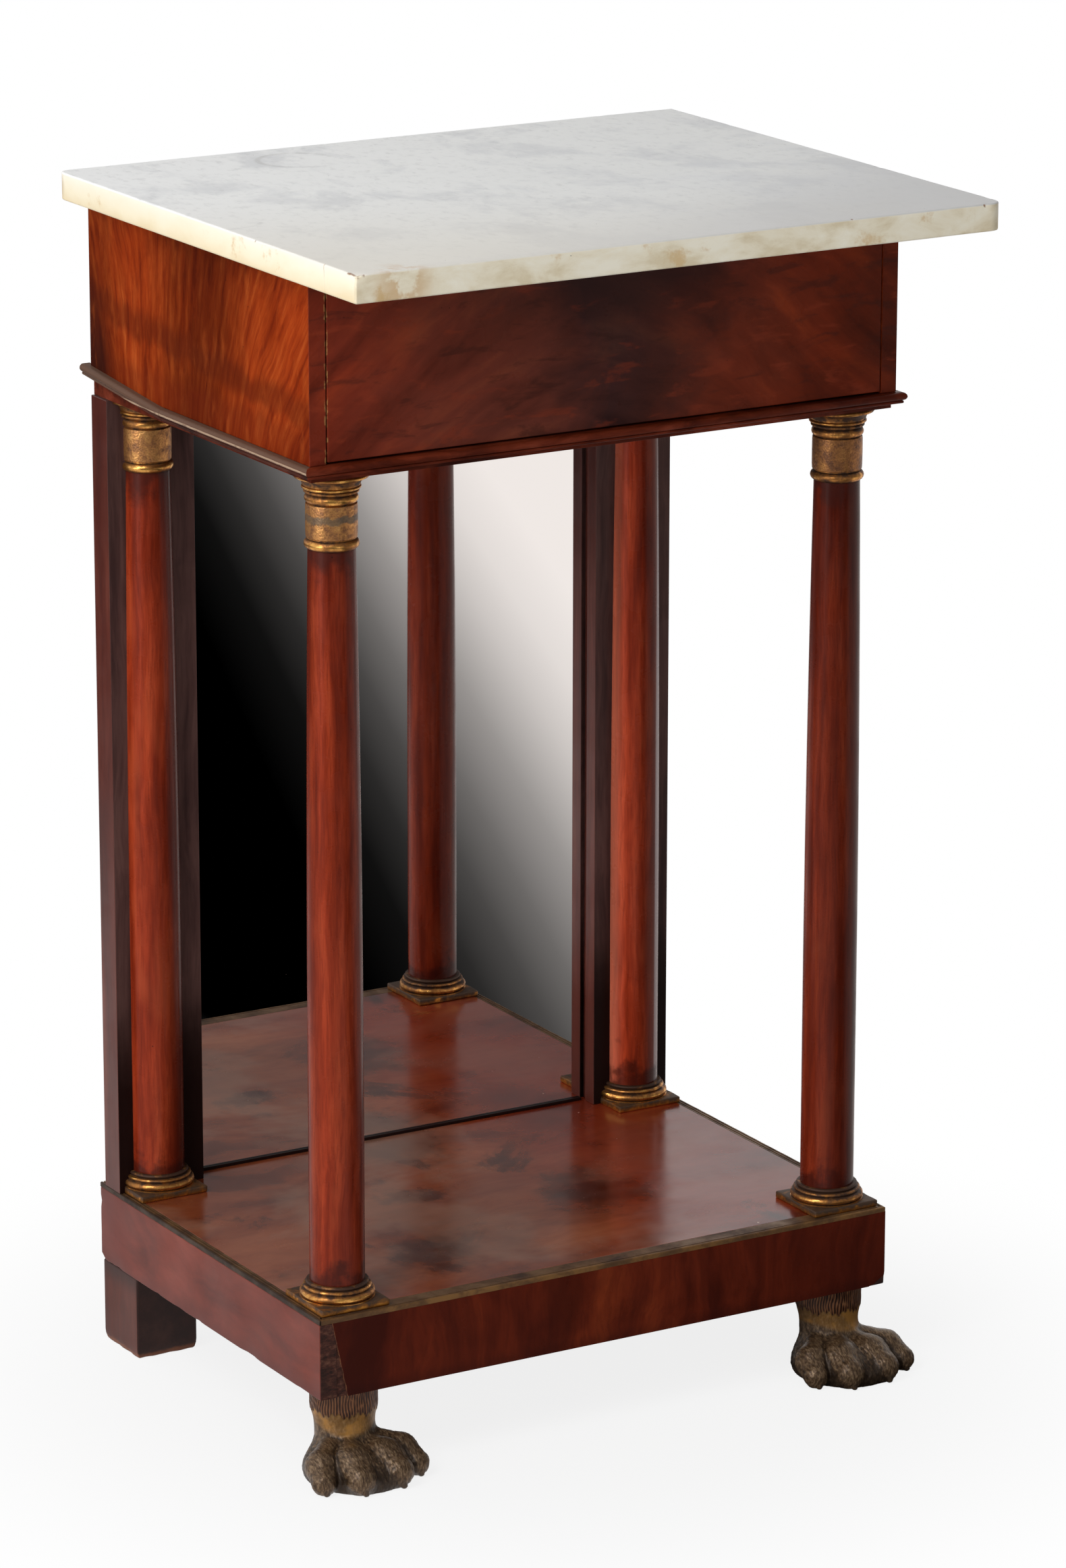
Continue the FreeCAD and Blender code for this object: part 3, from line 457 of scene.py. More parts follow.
def flame_marks(look):
    """The drawer front: smoky plumes round a dark heart, redder on the left and browner on the right,
    with painted shade along the top of its middle, under the slab, and a worn line along its left end."""
    ragged = look.noise(11.0, 6.0, 0.65, 0.6, scale=(1, 1, 1.4)) - 0.5
    place = ragged * 0.16 + look.x
    look.tint(1.0, place.stripes(
        -0.225, 0.225, (0.0, 238, 186, 164), (0.2, 224, 208, 206), (0.34, 216, 214, 220), (0.47, 140, 164, 200),
        (0.6, 165, 170, 182), (0.74, 238, 200, 172), (0.9, 226, 170, 124), (1.0, 186, 146, 114)))
    strokes = look.noise(60.0, 5.0, 0.6, 0.4, scale=(0.35, 1, 1.3), turn=(0, 24, 0))
    look.lay(strokes.span(0.56, 0.68, 0.4), 138, 56, 34)
    look.lay(strokes.span(0.46, 0.34, 0.45), 50, 26, 22)
    # painted shade: the middle darkens towards the top, under the overhanging slab
    middle = abs(place - 0.005).span(0.17, 0.05)
    look.lay((ragged * 0.1 + look.z).span(0.8, 0.87, 0.75, 0.1) * middle, 44, 28, 28)
    light = look.noise(330.0, 4.0, 0.6, scale=(1, 1, 0.45), shift=(4, 0, 1))
    worn = light.span(0.5, 0.56) * (light * 0.002 + look.x).span(-0.2266, -0.226)
    look.lay(worn * look.x.span(-0.2244, -0.2249) * 0.7, 158, 116, 70)


def faded_marks(look):
    """The moulding on the left side: dust and painted highlight along its crest, a thin pale line of painted
    highlight just under that, dark below.
    """
    rough = look.noise(260.0, 6.0, 0.7, scale=(1, 0.4, 1))
    level = rough * 0.0008 + look.z
    # the crest: dust, with a painted highlight
    look.lay(level.span(0.7396, 0.7404, 0.8), 100, 76, 62)
    # painted highlight: a thin pale line along the bead just below its crest
    painted_highlight_line = level.span(0.738, 0.7385) * level.span(0.74, 0.7395)
    look.lay(painted_highlight_line * rough.span(0.3, 0.5, 0.9, 0.4), 176, 150, 126)


def band_marks(look):
    """The front of the plinth shelf: darker towards its ends and its lower edge."""
    look.lay((look.noise(12.0) * 0.1 + abs(look.x)).span(0.2, 0.27, 0.3), 48, 17, 13)
    look.lay(look.z.span(0.075, 0.064, 0.4), 40, 14, 11)


def dusty_marks(look):
    """The sides of the plinth shelf: browner below and behind."""
    look.lay((look.noise(25.0) * 0.02 + look.z).span(0.09, 0.074, 0.7), 84, 32, 26)
    look.lay(look.y.span(0.15, 0.21, 0.6), 84, 34, 30)


# Light and shade painted round each shaft's girth, lighter on the left towards the lamps: places from its left
# to its right as the table is seen from the front left, with the grey (0 to 255) that its wood is multiplied
# by.
GIRTH_LIGHT_AND_SHADE = {"front_left": ((0.12, 166), (0.3, 192), (0.52, 167), (0.83, 156), (1.0, 146)),
               "front_right": ((0.15, 160), (0.45, 138), (0.85, 107), (1.0, 100)),
               "rear_left": ((0.15, 206), (0.45, 190), (0.8, 158), (1.0, 138)),
               "rear_right": ((0.15, 255), (0.45, 222), (0.78, 150), (1.0, 142))}
COLUMN_X, COLUMN_FRONT_Y, COLUMN_REAR_Y = 0.2075, -0.0915, 0.187


def on_the_right(look):
    return look.x.span(-0.01, 0.01)


def in_rear_row(look):
    return look.y.span(0.04, 0.06)


def column_marks(look):
    """Turned shafts with light and shade painted round their girths, darker towards the top except the rear
    right one, which has a painted highlight on its left and a painted rim highlight on its right; all darker
    just under the capital and just above the base.
    """
    right, rear = on_the_right(look), in_rear_row(look)
    across = look.x - look.x.span(-0.01, 0.01, COLUMN_X, -COLUMN_X)
    along = look.y - look.y.span(0.04, 0.06, COLUMN_REAR_Y, COLUMN_FRONT_Y)
    girth = across * 0.864 + along * -0.504
    tones = [girth.stripes(-0.019, 0.019, *[(place, v, v, v) for place, v in stops])
             for stops in GIRTH_LIGHT_AND_SHADE.values()]
    look.lay(look.noise(30.0, 3.0, scale=(1, 1, 0.3)).span(0.55, 0.7, 0.5), 210, 92, 53)
    # painted light and shade round each shaft
    look.tint(1.0, look.mix(rear, look.mix(right, *tones[:2]), look.mix(right, *tones[2:])))
    corner = right * rear
    look.tint(look.z.span(0.52, 0.69) * (1.0 - corner) * 0.8, 206, 200, 204)
    # painted highlight on the left of the rear right shaft
    look.lay(girth.span(-0.006, -0.0175) * corner * 0.4, 214, 140, 114)
    # painted highlight: a pale rim along the right edge of the rear right shaft
    look.lay(girth.span(0.0162, 0.0174) * corner, 180, 160, 160)
    ragged = look.noise(55.0) * 0.09 + look.z
    look.lay(ragged.span(0.7, 0.725, 0.8), 60, 22, 16)
    look.lay(ragged.span(0.208, 0.188, 0.75), 50, 15, 10)


def black_marks(look):
    look.lay((look.noise(20.0) * 0.06 + look.z).span(0.34, 0.23, 0.95), 22, 8, 6)


def stile_marks(look):
    level = look.noise(9.0, 3.0) * 0.2 + look.z
    look.lay(level.span(0.5, 0.8, 0.5), 62, 20, 12)
    look.lay(level.span(0.28, 0.2, 0.5), 66, 30, 24)


def foot_marks(look):
    """The block feet: painted shade on their fronts and at their tops, under the shelf; the lower arris rubbed
    pale.
    """
    # painted shade: the front face, which looks into the space under the shelf
    look.lay(look.y.span(0.1662, 0.1652) * 0.95, 30, 10, 7)
    look.lay((look.noise(70.0) * 0.006 + look.z).span(0.0085, 0.0055, 0.6), 138, 84, 56)
    # painted shade at the top, just under the shelf
    look.lay(look.z.span(0.045, 0.062, 0.7), 30, 12, 9)


SHELF_TOP = 0.1245
SPILLS = ((0.075, 0.02, 0.06), (-0.1, -0.045, 0.045), (0.0, 0.17, 0.045), (-0.055, 0.08, 0.03))


def shelf_marks(look):
    """The shelf: cloudy polish, dark spills (x, y, size) and a few crumbs of plaster."""
    look.lay(look.noise(12.0, 6.0, 0.64, 0.4, scale=(1, 0.8, 1)).span(0.55, 0.66, 0.75), 44, 22, 19)
    edge = (look.noise(30.0, 6.0, 0.65) - 0.5) * 0.11
    for x, y, size in SPILLS:
        gap = look.distance(x, y, SHELF_TOP) + edge
        look.lay(gap.span(size, size * 0.3, 0.75), 42, 20, 18)
    look.lay(look.noise(8.0, 4.0, 0.6, 0.3, shift=(1, 5, 0)).span(0.44, 0.62, 0.5), 142, 106, 88)
    look.tint((edge * 0.8 + look.x).span(-0.02, 0.14), 238, 172, 156)
    look.lay(look.crumbs(60.0, (0.065, 0.04), 24.0, (0.62, 0.64), shift=(0.4, 0.2, 0)), 196, 176, 158)


SIDE = veneer(
    "mahogany_bright", ((114, 34, 8), (142, 49, 13), (158, 61, 19), (182, 84, 34)), bend=fan, warp=0.02,
    streak=170, figure=56, figure_share=0.32, blotch=0.25, stain=(104, 34, 12), roughness=0.4, shine=0.02,
    strokes=0.2, marks=side_marks, nicks=0.8, seed=0.3)
FLAME = veneer(
    "mahogany_flame", ((94, 45, 34), (112, 56, 42), (124, 62, 47), (148, 77, 53)), "X", plume, warp=0.03,
    streak=40, figure=20, figure_share=0.75, figure_stretch=0.4, blotch=0.2, stain=(70, 32, 26),
    roughness=0.3, shine=0.06, pores=0.12, marks=flame_marks, seed=1.1)
MOULDED = veneer(
    "mahogany_moulding", ((56, 17, 8), (82, 29, 14), (106, 42, 24), (134, 62, 42)), "X", figure=30,
    figure_share=0.4, stain=(44, 14, 10), roughness=0.34, shine=0.08, seed=7.7)
FADED = veneer(
    "mahogany_faded", ((34, 17, 13), (56, 28, 20), (76, 38, 27), (94, 54, 42)), "Y", figure=30,
    figure_share=0.4, blotch=0.3, roughness=0.5, shine=0.08, marks=faded_marks, seed=8.8)
BAND = veneer(
    "mahogany_band", ((60, 19, 11), (78, 26, 14), (94, 33, 17), (124, 50, 24)), streak=40, figure=16,
    figure_share=0.6, blotch=0.5, stain=(58, 20, 12), roughness=0.3, shine=0.04, marks=band_marks, seed=2.2)
DUSTY = veneer(
    "mahogany_dusty", ((88, 32, 22), (112, 44, 30), (126, 54, 40), (146, 72, 54)), "Y", streak=30, figure=13,
    figure_share=0.65, figure_stretch=0.5, blotch=0.45, stain=(80, 32, 24), roughness=0.42, shine=0.24,
    dust=0.15, dust_tone=(128, 92, 84), marks=dusty_marks, pores=0.15, seed=3.7)
TURNED = veneer(
    "mahogany_turned", ((143, 45, 20), (174, 59, 28), (199, 73, 38), (230, 95, 53)), warp=0.008, streak=120,
    figure=26, figure_share=0.25, figure_stretch=0.1, blotch=0.3, stain=(129, 39, 21), roughness=0.27,
    shine=0.14, marks=column_marks, pores=0.45, nicks=0.9, seed=4.1)
BLACK = veneer(
    "mahogany_black", ((60, 40, 38), (84, 58, 54), (96, 68, 63), (112, 80, 74)), warp=0.015, figure=12,
    figure_share=0.4, figure_stretch=0.15, blotch=0.3, stain=(54, 34, 32), shine=0.1, marks=black_marks,
    seed=5.5)
STILE = veneer(
    "mahogany_stile", ((66, 28, 22), (84, 36, 28), (96, 44, 34), (116, 60, 48)), warp=0.015, figure=12,
    figure_share=0.4, figure_stretch=0.15, blotch=0.35, stain=(58, 24, 19), shine=0.3, marks=stile_marks,
    seed=5.9)
FOOT = veneer(
    "mahogany_foot", ((66, 28, 20), (82, 36, 26), (92, 44, 33), (108, 58, 44)), streak=40,
    stain=(52, 22, 16), roughness=0.45, shine=0.22, dust=0.15, dust_tone=(110, 76, 66), marks=foot_marks,
    seed=9.2)
SHELF = veneer(
    "mahogany_shelf", ((92, 40, 22), (120, 58, 33), (134, 70, 42), (152, 87, 56)), "X", streak=34, figure=9,
    figure_share=0.8, figure_stretch=0.5, blotch=0.45, stain=(74, 34, 24), roughness=0.2, shine=0.45,
    marks=shelf_marks, pores=0.12, seed=6.4)


# ---- other materials


def bare_wood():
    """Broken, darkened wood where veneer is missing."""
    look = new_look("wood_broken")
    rough = look.noise(330.0, 8.0, 0.7, scale=(0.45, 1, 1), turn=(0, 24, 0))
    look.colour = rough.ramp((0.34, 30, 17, 14), (0.52, 70, 38, 30), (0.72, 112, 74, 58))
    look.lay(look.noise(60.0).span(0.45, 0.65, 0.7), 40, 24, 20)
    return look.surface(0.7, normal=look.bump(rough, 0.8, 0.9), shine=0.2)


def torn_edge():
    look = new_look("veneer_edge")
    rough = look.noise(300.0, 5.0)
    look.colour = rough.ramp((0.4, 66, 34, 24), (0.6, 112, 70, 46))
    return look.surface(0.6, normal=look.bump(rough, 0.2, 0.5), shine=0.2)


def pine():
    """Unpolished inner wood, darkened by age."""
    look = new_look("wood_inner")
    rings = look.noise(70.0, 5.0, 0.6, 0.8, scale=(0.12, 1, 1))
    look.colour = rings.ramp((0.3, 128, 94, 58), (0.5, 160, 122, 80), (0.7, 184, 148, 104))
    look.lay(look.noise(7.0, 5.0, 0.65).span(0.45, 0.75, 0.6), 92, 68, 48)
    return look.surface(0.72, normal=look.bump(rings, 0.15, 0.6), shine=0.2)


def marble():
    """Grey-white marble with clouds and specks; its edges have yellowed and are stained here and there."""
    look = new_look("marble")
    cloud = look.noise(6.0, 9.0, 0.7, 0.5)
    look.colour = (cloud * -0.9 + (look.x - look.y)).stripes(
        -0.9, 0.1, (0.0, 250, 250, 249), (0.3, 245, 245, 243), (0.6, 236, 236, 234), (0.8, 222, 223, 225),
        (1.0, 206, 208, 212))
    mottle = look.noise(17.0, 9.0, 0.66, 0.3, turn=(0, 0, 25), scale=(1, 0.7, 1))
    look.lay(mottle.span(0.48, 0.66, 0.55), 207, 208, 211)
    look.lay(look.noise(150.0, 5.0, 0.7, scale=(1, 0.6, 1)).span(0.5, 0.72, 0.4), 196, 196, 196)
    look.lay((look.x * 0.5 + look.y).span(0.0, -0.36) * 0.8, 228, 222, 210)
    look.lay((look.x * -0.5 + look.y).span(-0.08, -0.3) * 0.7, 204, 202, 200)
    ring = abs(look.cells(5.5, shift=(0.3, 0.1, 0)) - 0.2)
    look.lay(ring.span(0.014, 0.004) * mottle.span(0.45, 0.6) * 0.4, 184, 182, 178)
    # the edges of the slab
    level = look.z.span(0.894, 0.8928)
    age = look.noise(26.0, 6.0, 0.6, 0.4, scale=(1, 1, 2))
    yellowed = (age * 0.016 + look.z).stripes(0.882, 0.902, (0.0, 230, 212, 176), (0.45, 240, 229, 202),
                                              (1.0, 245, 239, 222))
    look.lay(level, yellowed)
    tan = age.ramp((0.36, 222, 208, 178), (0.5, 238, 229, 206), (0.64, 244, 238, 220))
    look.lay(level * look.y.span(-0.2185, -0.2197), tan)
    brown = look.noise(30.0, 5.0, 0.65, shift=(7, 2, 1))
    look.lay(level * brown.span(0.62, 0.72, 0.55), 206, 168, 108)
    front_corner = look.distance(-0.222, -0.221, 0.884).span(0.03, 0.004)
    look.lay(front_corner * brown.span(0.44, 0.54) * 0.6, 196, 148, 82)
    look.lay(look.distance(-0.2588, 0.221, 0.884).span(0.014, 0.004, 0.6), 178, 140, 96)
    crack = abs(look.noise(90.0, 3.0) * 0.004 + look.y + 0.176).span(0.0005, 0.0002)
    crack = crack * look.x.span(-0.2572, -0.258) * look.z.span(0.884, 0.8935, 0.7, 0.12)
    look.lay(crack, 150, 112, 66)
    look.lay(look.crumbs(80.0, (0.045, 0.02), 34.0, (0.57, 0.61)) * 0.8, 84, 74, 66)
    look.lay(look.mark("worn").span(0.35, 0.8, 0.9), 128, 84, 50)
    relief = look.bump(look.noise(300.0), 0.08, 0.3)
    return look.surface(cloud.span(0.3, 0.7, 0.46, 0.34), normal=relief, shine=0.12)


def gilt(name, bright, aged, grime, polish, soil):
    """Gilded brass, worn and dirty in its quirks, duller on the front right column."""
    look = new_look(name)
    patch = look.noise(110.0, 6.0, 0.65, 0.4)
    grain = look.noise(800.0, 4.0, 0.6)
    dull = on_the_right(look) * (1.0 - in_rear_row(look))
    top_of_base = look.z.span(0.1382, 0.139) * look.z.span(0.2, 0.15)
    share = grain * 0.1 + (look.mark("recess") * soil + patch)
    share = top_of_base * 0.13 + (dull * 0.07 + share)
    look.colour = share.ramp((0.5, *bright), (0.64, *aged), (0.84, *grime))
    relief = look.bump(patch, 0.4, 0.35, look.bump(grain, 0.1, 0.5))
    return look.surface(share.span(0.45, 0.85, 0.6, polish), share.span(0.6, 0.9, 0.45, 0.95), relief)


def drum_gilt():
    """The granular, mottled gilding on the drum of a capital, with a tarnished girdle."""
    look = new_look("gilt_granular")
    crackle = look.cells(620.0)
    patch = look.noise(130.0, 6.0, 0.7, 0.3)
    look.colour = patch.ramp((0.34, 226, 170, 104), (0.48, 190, 134, 80), (0.6, 140, 94, 58),
                             (0.76, 86, 60, 42))
    level = look.noise(70.0, 4.0, 0.6) * 0.016 + look.z
    girdle = level.span(0.7025, 0.7045) * level.span(0.7105, 0.7085)
    right = on_the_right(look)
    girdle = girdle * (1.0 - right) * (1.0 - in_rear_row(look))
    look.lay(girdle * 0.8, 78, 70, 58)
    look.lay(crackle.span(0.5, 0.0, 0.45), 78, 52, 34)
    look.tint(right * 0.75, 176, 160, 150)
    metal = (right * 0.08 + patch).span(0.35, 0.7, 0.5, 0.92) * (1.0 - girdle * 0.5)
    return look.surface(0.4, metal, look.bump(crackle, 0.25, 0.7))


def olive_brass():
    """Reeded brass, blackened between its reeds and rubbed bright only here and there."""
    look = new_look("brass_olive")
    tarnish = look.noise(70.0, 6.0, 0.65, 0.3, scale=(0.6, 0.6, 1))
    look.colour = tarnish.ramp((0.36, 112, 82, 52), (0.5, 94, 66, 41), (0.66, 62, 42, 30))
    ridge = look.mark("crest")
    worn = ridge.span(0.4, 1.0) * tarnish.span(0.4, 0.56, 0.25, 1.0) * look.y.span(-0.118, -0.1225, 1.0, 0.35)
    look.lay(worn, 126, 90, 50)
    look.lay(ridge.span(-0.2, -1.0, 0.95), 22, 15, 12)
    look.lay(look.x.span(-0.2376, -0.2386, 0.8), 30, 20, 16)
    relief = look.bump(look.noise(400.0, 5.0), 0.15, 0.5)
    return look.surface(tarnish.span(0.3, 0.7, 0.62, 0.4), 0.35, relief, shine=0.3)


def bronze():
    """Dark bronzed carving with rubbed crests that also carry a painted highlight where they face upwards,
    brown hair and a gilded band under it.
    """
    look = new_look("bronze_paw")
    fur = look.noise(900.0, 4.0, 0.65, scale=(1, 0.3, 0.3))
    patch = look.noise(55.0, 5.0, 0.6)
    crest, claw = look.mark("crest"), look.mark("claw")
    look.colour = fur.ramp((0.34, 52, 37, 24), (0.5, 88, 67, 47), (0.66, 128, 105, 80))
    look.lay(patch.span(0.52, 0.7, 0.3), 58, 44, 30)
    # rubbed crests, with painted highlight where they face upwards
    look.lay(crest.span(0.2, 1.0, 0.55), 164, 142, 114)
    look.lay(crest.span(-0.2, -1.2, 0.8), 34, 23, 15)
    look.lay(look.mark("hair"), crest.ramp((0.1, 28, 11, 4), (0.5, 54, 28, 14), (0.85, 80, 47, 28),
                                           (1.0, 116, 76, 48)))
    look.lay(look.mark("band") * patch.span(0.42, 0.6, 0.35, 0.9), 166, 118, 54)
    look.lay(claw, 70, 56, 44)
    gloss = patch.span(0.3, 0.7, 0.5, 0.34) - claw * 0.2
    return look.surface(gloss, 0.4, look.bump(fur, 0.2, 0.7), shine=0.4)


def mirror_silver():
    look = new_look("mirror_silver")
    dust = look.crumbs(70.0, (0.03, 0.01), 30.0, (0.6, 0.64))
    look.colour = rgb(252, 252, 252)
    look.lay(dust * 0.5, 120, 116, 110)
    return look.surface(look.noise(8.0).span(0.3, 0.7, 0.02) + dust * 0.4, 1.0)


def wire():
    look = new_look("wire")
    rust = look.noise(300.0, 5.0)
    look.colour = rust.ramp((0.4, 96, 94, 92), (0.65, 88, 60, 44))
    return look.surface(rust.span(0.3, 0.7, 0.7, 0.35), 0.8)


BROKEN = bare_wood()
TORN = torn_edge()
PINE = pine()
MARBLE = marble()
GILT = gilt("gilt", (226, 168, 90), (172, 116, 62), (66, 42, 28), polish=0.24, soil=0.24)
PLINTH_GILT = gilt("gilt_plinth", (214, 148, 66), (150, 100, 52), (74, 54, 40), polish=0.4, soil=0.26)
DRUM = drum_gilt()
BRASS = olive_brass()
BRONZE = bronze()
MIRROR = mirror_silver()
WIRE = wire()


# ---- slab and frieze

ARRIS_REACH, CHIP_DEPTH = 4.0, 0.9          # how far from its edges the slab is chipped, and how deep
BROKEN_REACH, ROUNDED_REACH = 9.0, 11.0     # sizes of the broken corner and of the rounded ones


def make_board(name, box, radius, cell, material, slot, **rest):
    return make_piece(name, *rounded_box(*box, radius, cell), material, slot, flats=True, **rest)


def marble_slab():
    """The slab: crisp edges, a softened top arris with small chips, and a broken front left corner."""
    low, high = node_box("marble_top")
    fresh, faces = rounded_box(low, high, 1.3, 2.5)
    depth = np.minimum(fresh - low, high - fresh)
    side_gap = np.minimum(depth[:, 0], depth[:, 1])
    top_gap = high[2] - fresh[:, 2]
    arris = unit(1 - (side_gap + top_gap) / ARRIS_REACH)
    chips = unit(noise_at(fresh, 5.0, 2.0) * 2.2 - 0.75)
    chips = chips * unit(noise_at(fresh, 40.0, 4.0) + 0.4)
    inward = np.sign((low + high) / 2 - fresh) * (depth < ARRIS_REACH)
    points = fresh + inward * (CHIP_DEPTH * arris * chips)[:, None]
    points[:, 2] += noise_at(fresh, 60.0, 6.0) * 0.15 * np.sign(fresh[:, 2] - high[2] + 10)
    points[:, 2] = np.clip(points[:, 2], low[2], high[2])
    corner = np.array([low[0], low[1], high[2]])
    near = unit(1 - np.linalg.norm((fresh - corner) * (1, 0.7, 1), axis=1) / BROKEN_REACH)
    points = points + near[:, None] ** 1.5 * np.array([0.9, 0.9, -1.6])
    for place in ((low[0], high[1]), (high[0], low[1])):
        away = np.linalg.norm(fresh[:, :2] - place, axis=1)
        round_off = unit(1 - away / ROUNDED_REACH) ** 2
        points[:, :2] += np.sign(-np.array(place)) * (round_off * 3.0)[:, None]
    broken = (near > 0.1) * arris * unit(noise_at(fresh, 3.0, 9.0) + 0.75)
    make_piece("slab_of_marble", points, faces, MARBLE, "marble", replaces=["marble_top"], flats=True,
               marks={"worn": unit(arris * chips * 1.5 + broken)})


def frieze_boards():
    """Sides of the frieze; their front ends carry the dark veneer of the drawer front."""
    for side, _ in SIDES:
        piece = make_board(f"side_veneered_{side}", node_box(f"frieze_side_{side}"), 0.6, 6.0, [SIDE, FLAME],
                           "mahogany_side", replaces=[f"frieze_side_{side}"])
        finish_some(piece, lambda polygon: polygon.normal.y < -0.5)
    make_board("drawer_front_veneered", node_box("drawer_front"), 0.7, 6.0, FLAME, "mahogany_flame",
               body="drawer", replaces=["drawer_front"])


MOULDING_SECTION = [(-2.4, -8.0), (3.6, -8.0), (4.0, -7.6), (4.0, -6.4), (3.6, -6.0), (2.6, -5.9)] + [
    (3.1 + 2.9 * math.cos(a), -2.95 + 2.9 * math.sin(a)) for a in np.linspace(-1.35, QUARTER_TURN, 10)] + [
    (-2.4, -0.05)]
CRACK_Y, CRACK_GAP = 94.0, 0.3      # where the left strip is broken
LIFTED_Y, LIFT = 218.0, 10.5        # rear end of the left strip, which has come away upwards


def mouldings():
    """The astragal under the frieze; the left strip is in two lengths, and the rear one has lifted."""
    low, high = node_box("frieze_side_left")
    left, front, back, top = low[0], low[1], high[1], low[2]
    corner_left, corner_right = (left, front, top), (-left, front, top)
    section = MOULDING_SECTION[::-1]
    lifted = (left, LIFTED_Y, top + LIFT)
    to_front, to_left, to_right = (0, -1, 0), (-1, 0, 0), (1, 0, 0)
    mitre_left, mitre_right = (-1, -1, 0), (1, -1, 0)
    along_front = run(corner_left, corner_right, 40, to_front, mitre_left, mitre_right)
    before_crack = run(corner_left, (left, CRACK_Y - CRACK_GAP, top), 20, to_left, mitre_left)
    behind_crack = run((left, CRACK_Y + CRACK_GAP, top - CRACK_GAP), lifted, 12, to_left)
    along_right = run(corner_right, (-left, back, top), 24, to_right, mitre_right)
    strips = (("front", section, along_front[::-1], MOULDED), ("left_front", section, before_crack, FADED),
              ("left_rear", section, behind_crack, FADED), ("right", MOULDING_SECTION, along_right, MOULDED))
    for name, outline, stations, material in strips:
        nodes = [] if name == "left_rear" else [f"frieze_moulding_{name.split('_')[0]}"]
        make_piece(f"moulding_{name}", *extrude(outline, stations), material, "mahogany_flame",
                   replaces=nodes, sharp=50)


# ---- columns

ROUND = 96                  # points round a capital or base
CUT_FLAT = 188.0            # plane of the pilaster fronts, which the rear half columns stand against
SHAFT_STRAIGHT_TO = 284.5
SHAFT_FOOT_RADIUS, SHAFT_HEAD_RADIUS = 19.8, 16.8
INTO_BASE, INTO_CAPITAL = 0.5, 0.6      # how far the shaft reaches into both


def raised(profile, low):
    return [(r, low + z) for r, z in profile]


def capital_profile():
    """Upwards from the shaft: torus, granular drum, bright neck, two rings, hollow and rim."""
    rings = [(16.9, 0)] + bead(19.4, 0.5, 7.7) + [(17.6, 8.0), (17.5, 8.5)]
    drum_start = len(rings)
    rings += [(18.0, 9.0), (18.2, 12.0), (18.25, 22.0), (18.2, 31.0), (18.0, 32.4)]
    drum_end = len(rings)
    rings += [(17.4, 32.8)] + arc(15.4, 36.3, 3.5, -64, 64, 9) + [(17.9, 39.9)]
    rings += bead(19.5, 40.2, 42.4, 6) + [(19.0, 42.8)] + bead(20.9, 43.1, 45.3, 6)
    rings += [(20.3, 45.7), (20.4, 46.4), (20.9, 47.8), (21.9, 49.2), (23.3, 50.3), (25.0, 50.9)]
    return rings + arc(25.1, 52.3, 1.4, -80, 80, 6) + [(25.0, 54.0)], drum_start, drum_end


def base_profile():
    """Upwards from the plinth: flat, torus and two rings."""
    return ([(27.0, 0), (27.0, 0.5), (25.6, 0.7)] + bead(27.0, 0.8, 5.9) + [(24.2, 6.1)]
            + bead(24.7, 6.4, 9.0) + [(22.3, 9.2)] + bead(22.7, 9.5, 12.0))


def shaft_profile(low, high):
    """Straight at the foot, then drawn in towards the head."""
    drawn_in = SHAFT_FOOT_RADIUS - SHAFT_HEAD_RADIUS
    rise = high - SHAFT_STRAIGHT_TO
    return [(SHAFT_FOOT_RADIUS - drawn_in * max(0.0, (z - SHAFT_STRAIGHT_TO) / rise) ** 2, z)
            for z in np.linspace(low, high, 56)]


def column(place):
    """Capital, base, shaft and plinth of one column, all gilded but the shaft."""
    low, high = node_box(f"column_plinth_{place}")
    x, half_width = (low[0] + high[0]) / 2, (high[0] - low[0]) / 2
    y = low[1] + half_width
    base_low, base_high = node_box(f"column_base_{place}")
    cap_low = node_box(f"capital_{place}")[0]
    seed = x * 0.013 + y * 0.017
    profile, drum_start, drum_end = capital_profile()
    profile = raised(profile, cap_low[2])
    capital = make_piece(f"capital_gilded_{place}", *lathe(profile, x, y, ROUND, 0.12, seed), [GILT, DRUM],
                         "gilt", replaces=[f"capital_{place}"], marks={"recess": recess_marks(profile, ROUND)})
    finish_some(capital, lambda polygon: drum_start <= polygon.index // ROUND < drum_end - 1)
    profile = raised(base_profile(), base_low[2])
    base = make_piece(f"base_gilded_{place}", *lathe(profile, x, y, ROUND, 0.15, seed + 5), GILT, "gilt",
                      replaces=[f"column_base_{place}"], marks={"recess": recess_marks(profile, ROUND)})
    profile = shaft_profile(base_high[2] - INTO_BASE, cap_low[2] + INTO_CAPITAL)
    shaft = make_piece(f"shaft_polished_{place}", *lathe(profile, x, y, 72), TURNED, "mahogany_column",
                       replaces=[f"column_shaft_{place}"])
    points, faces = rounded_box(low, (high[0], y + (x - low[0]), high[2]), 1.1, 3.0)
    points = points + np.stack([noise_at(points, 7.0, seed + k) * 0.25 for k in range(3)], axis=1)
    plinth = make_piece(f"plinth_gilded_{place}", points, faces, PLINTH_GILT, "gilt",
                        replaces=[f"column_plinth_{place}"],
                        marks={"recess": (points[:, 2] > high[2] - 1.2) * 1.0})
    return capital, base, shaft, plinth


def columns():
    for row in ("front", "rear"):
        for side, _ in SIDES:
            for piece in column(f"{row}_{side}"):
                if row == "rear":
                    cut_behind(piece, CUT_FLAT)


# ---- pilasters and mirror

INNER_EDGES = (168.5, 173.4)        # where the left and right pilasters end beside the glass
GROOVE = 4.0                        # depth of the groove there, in front of the glass


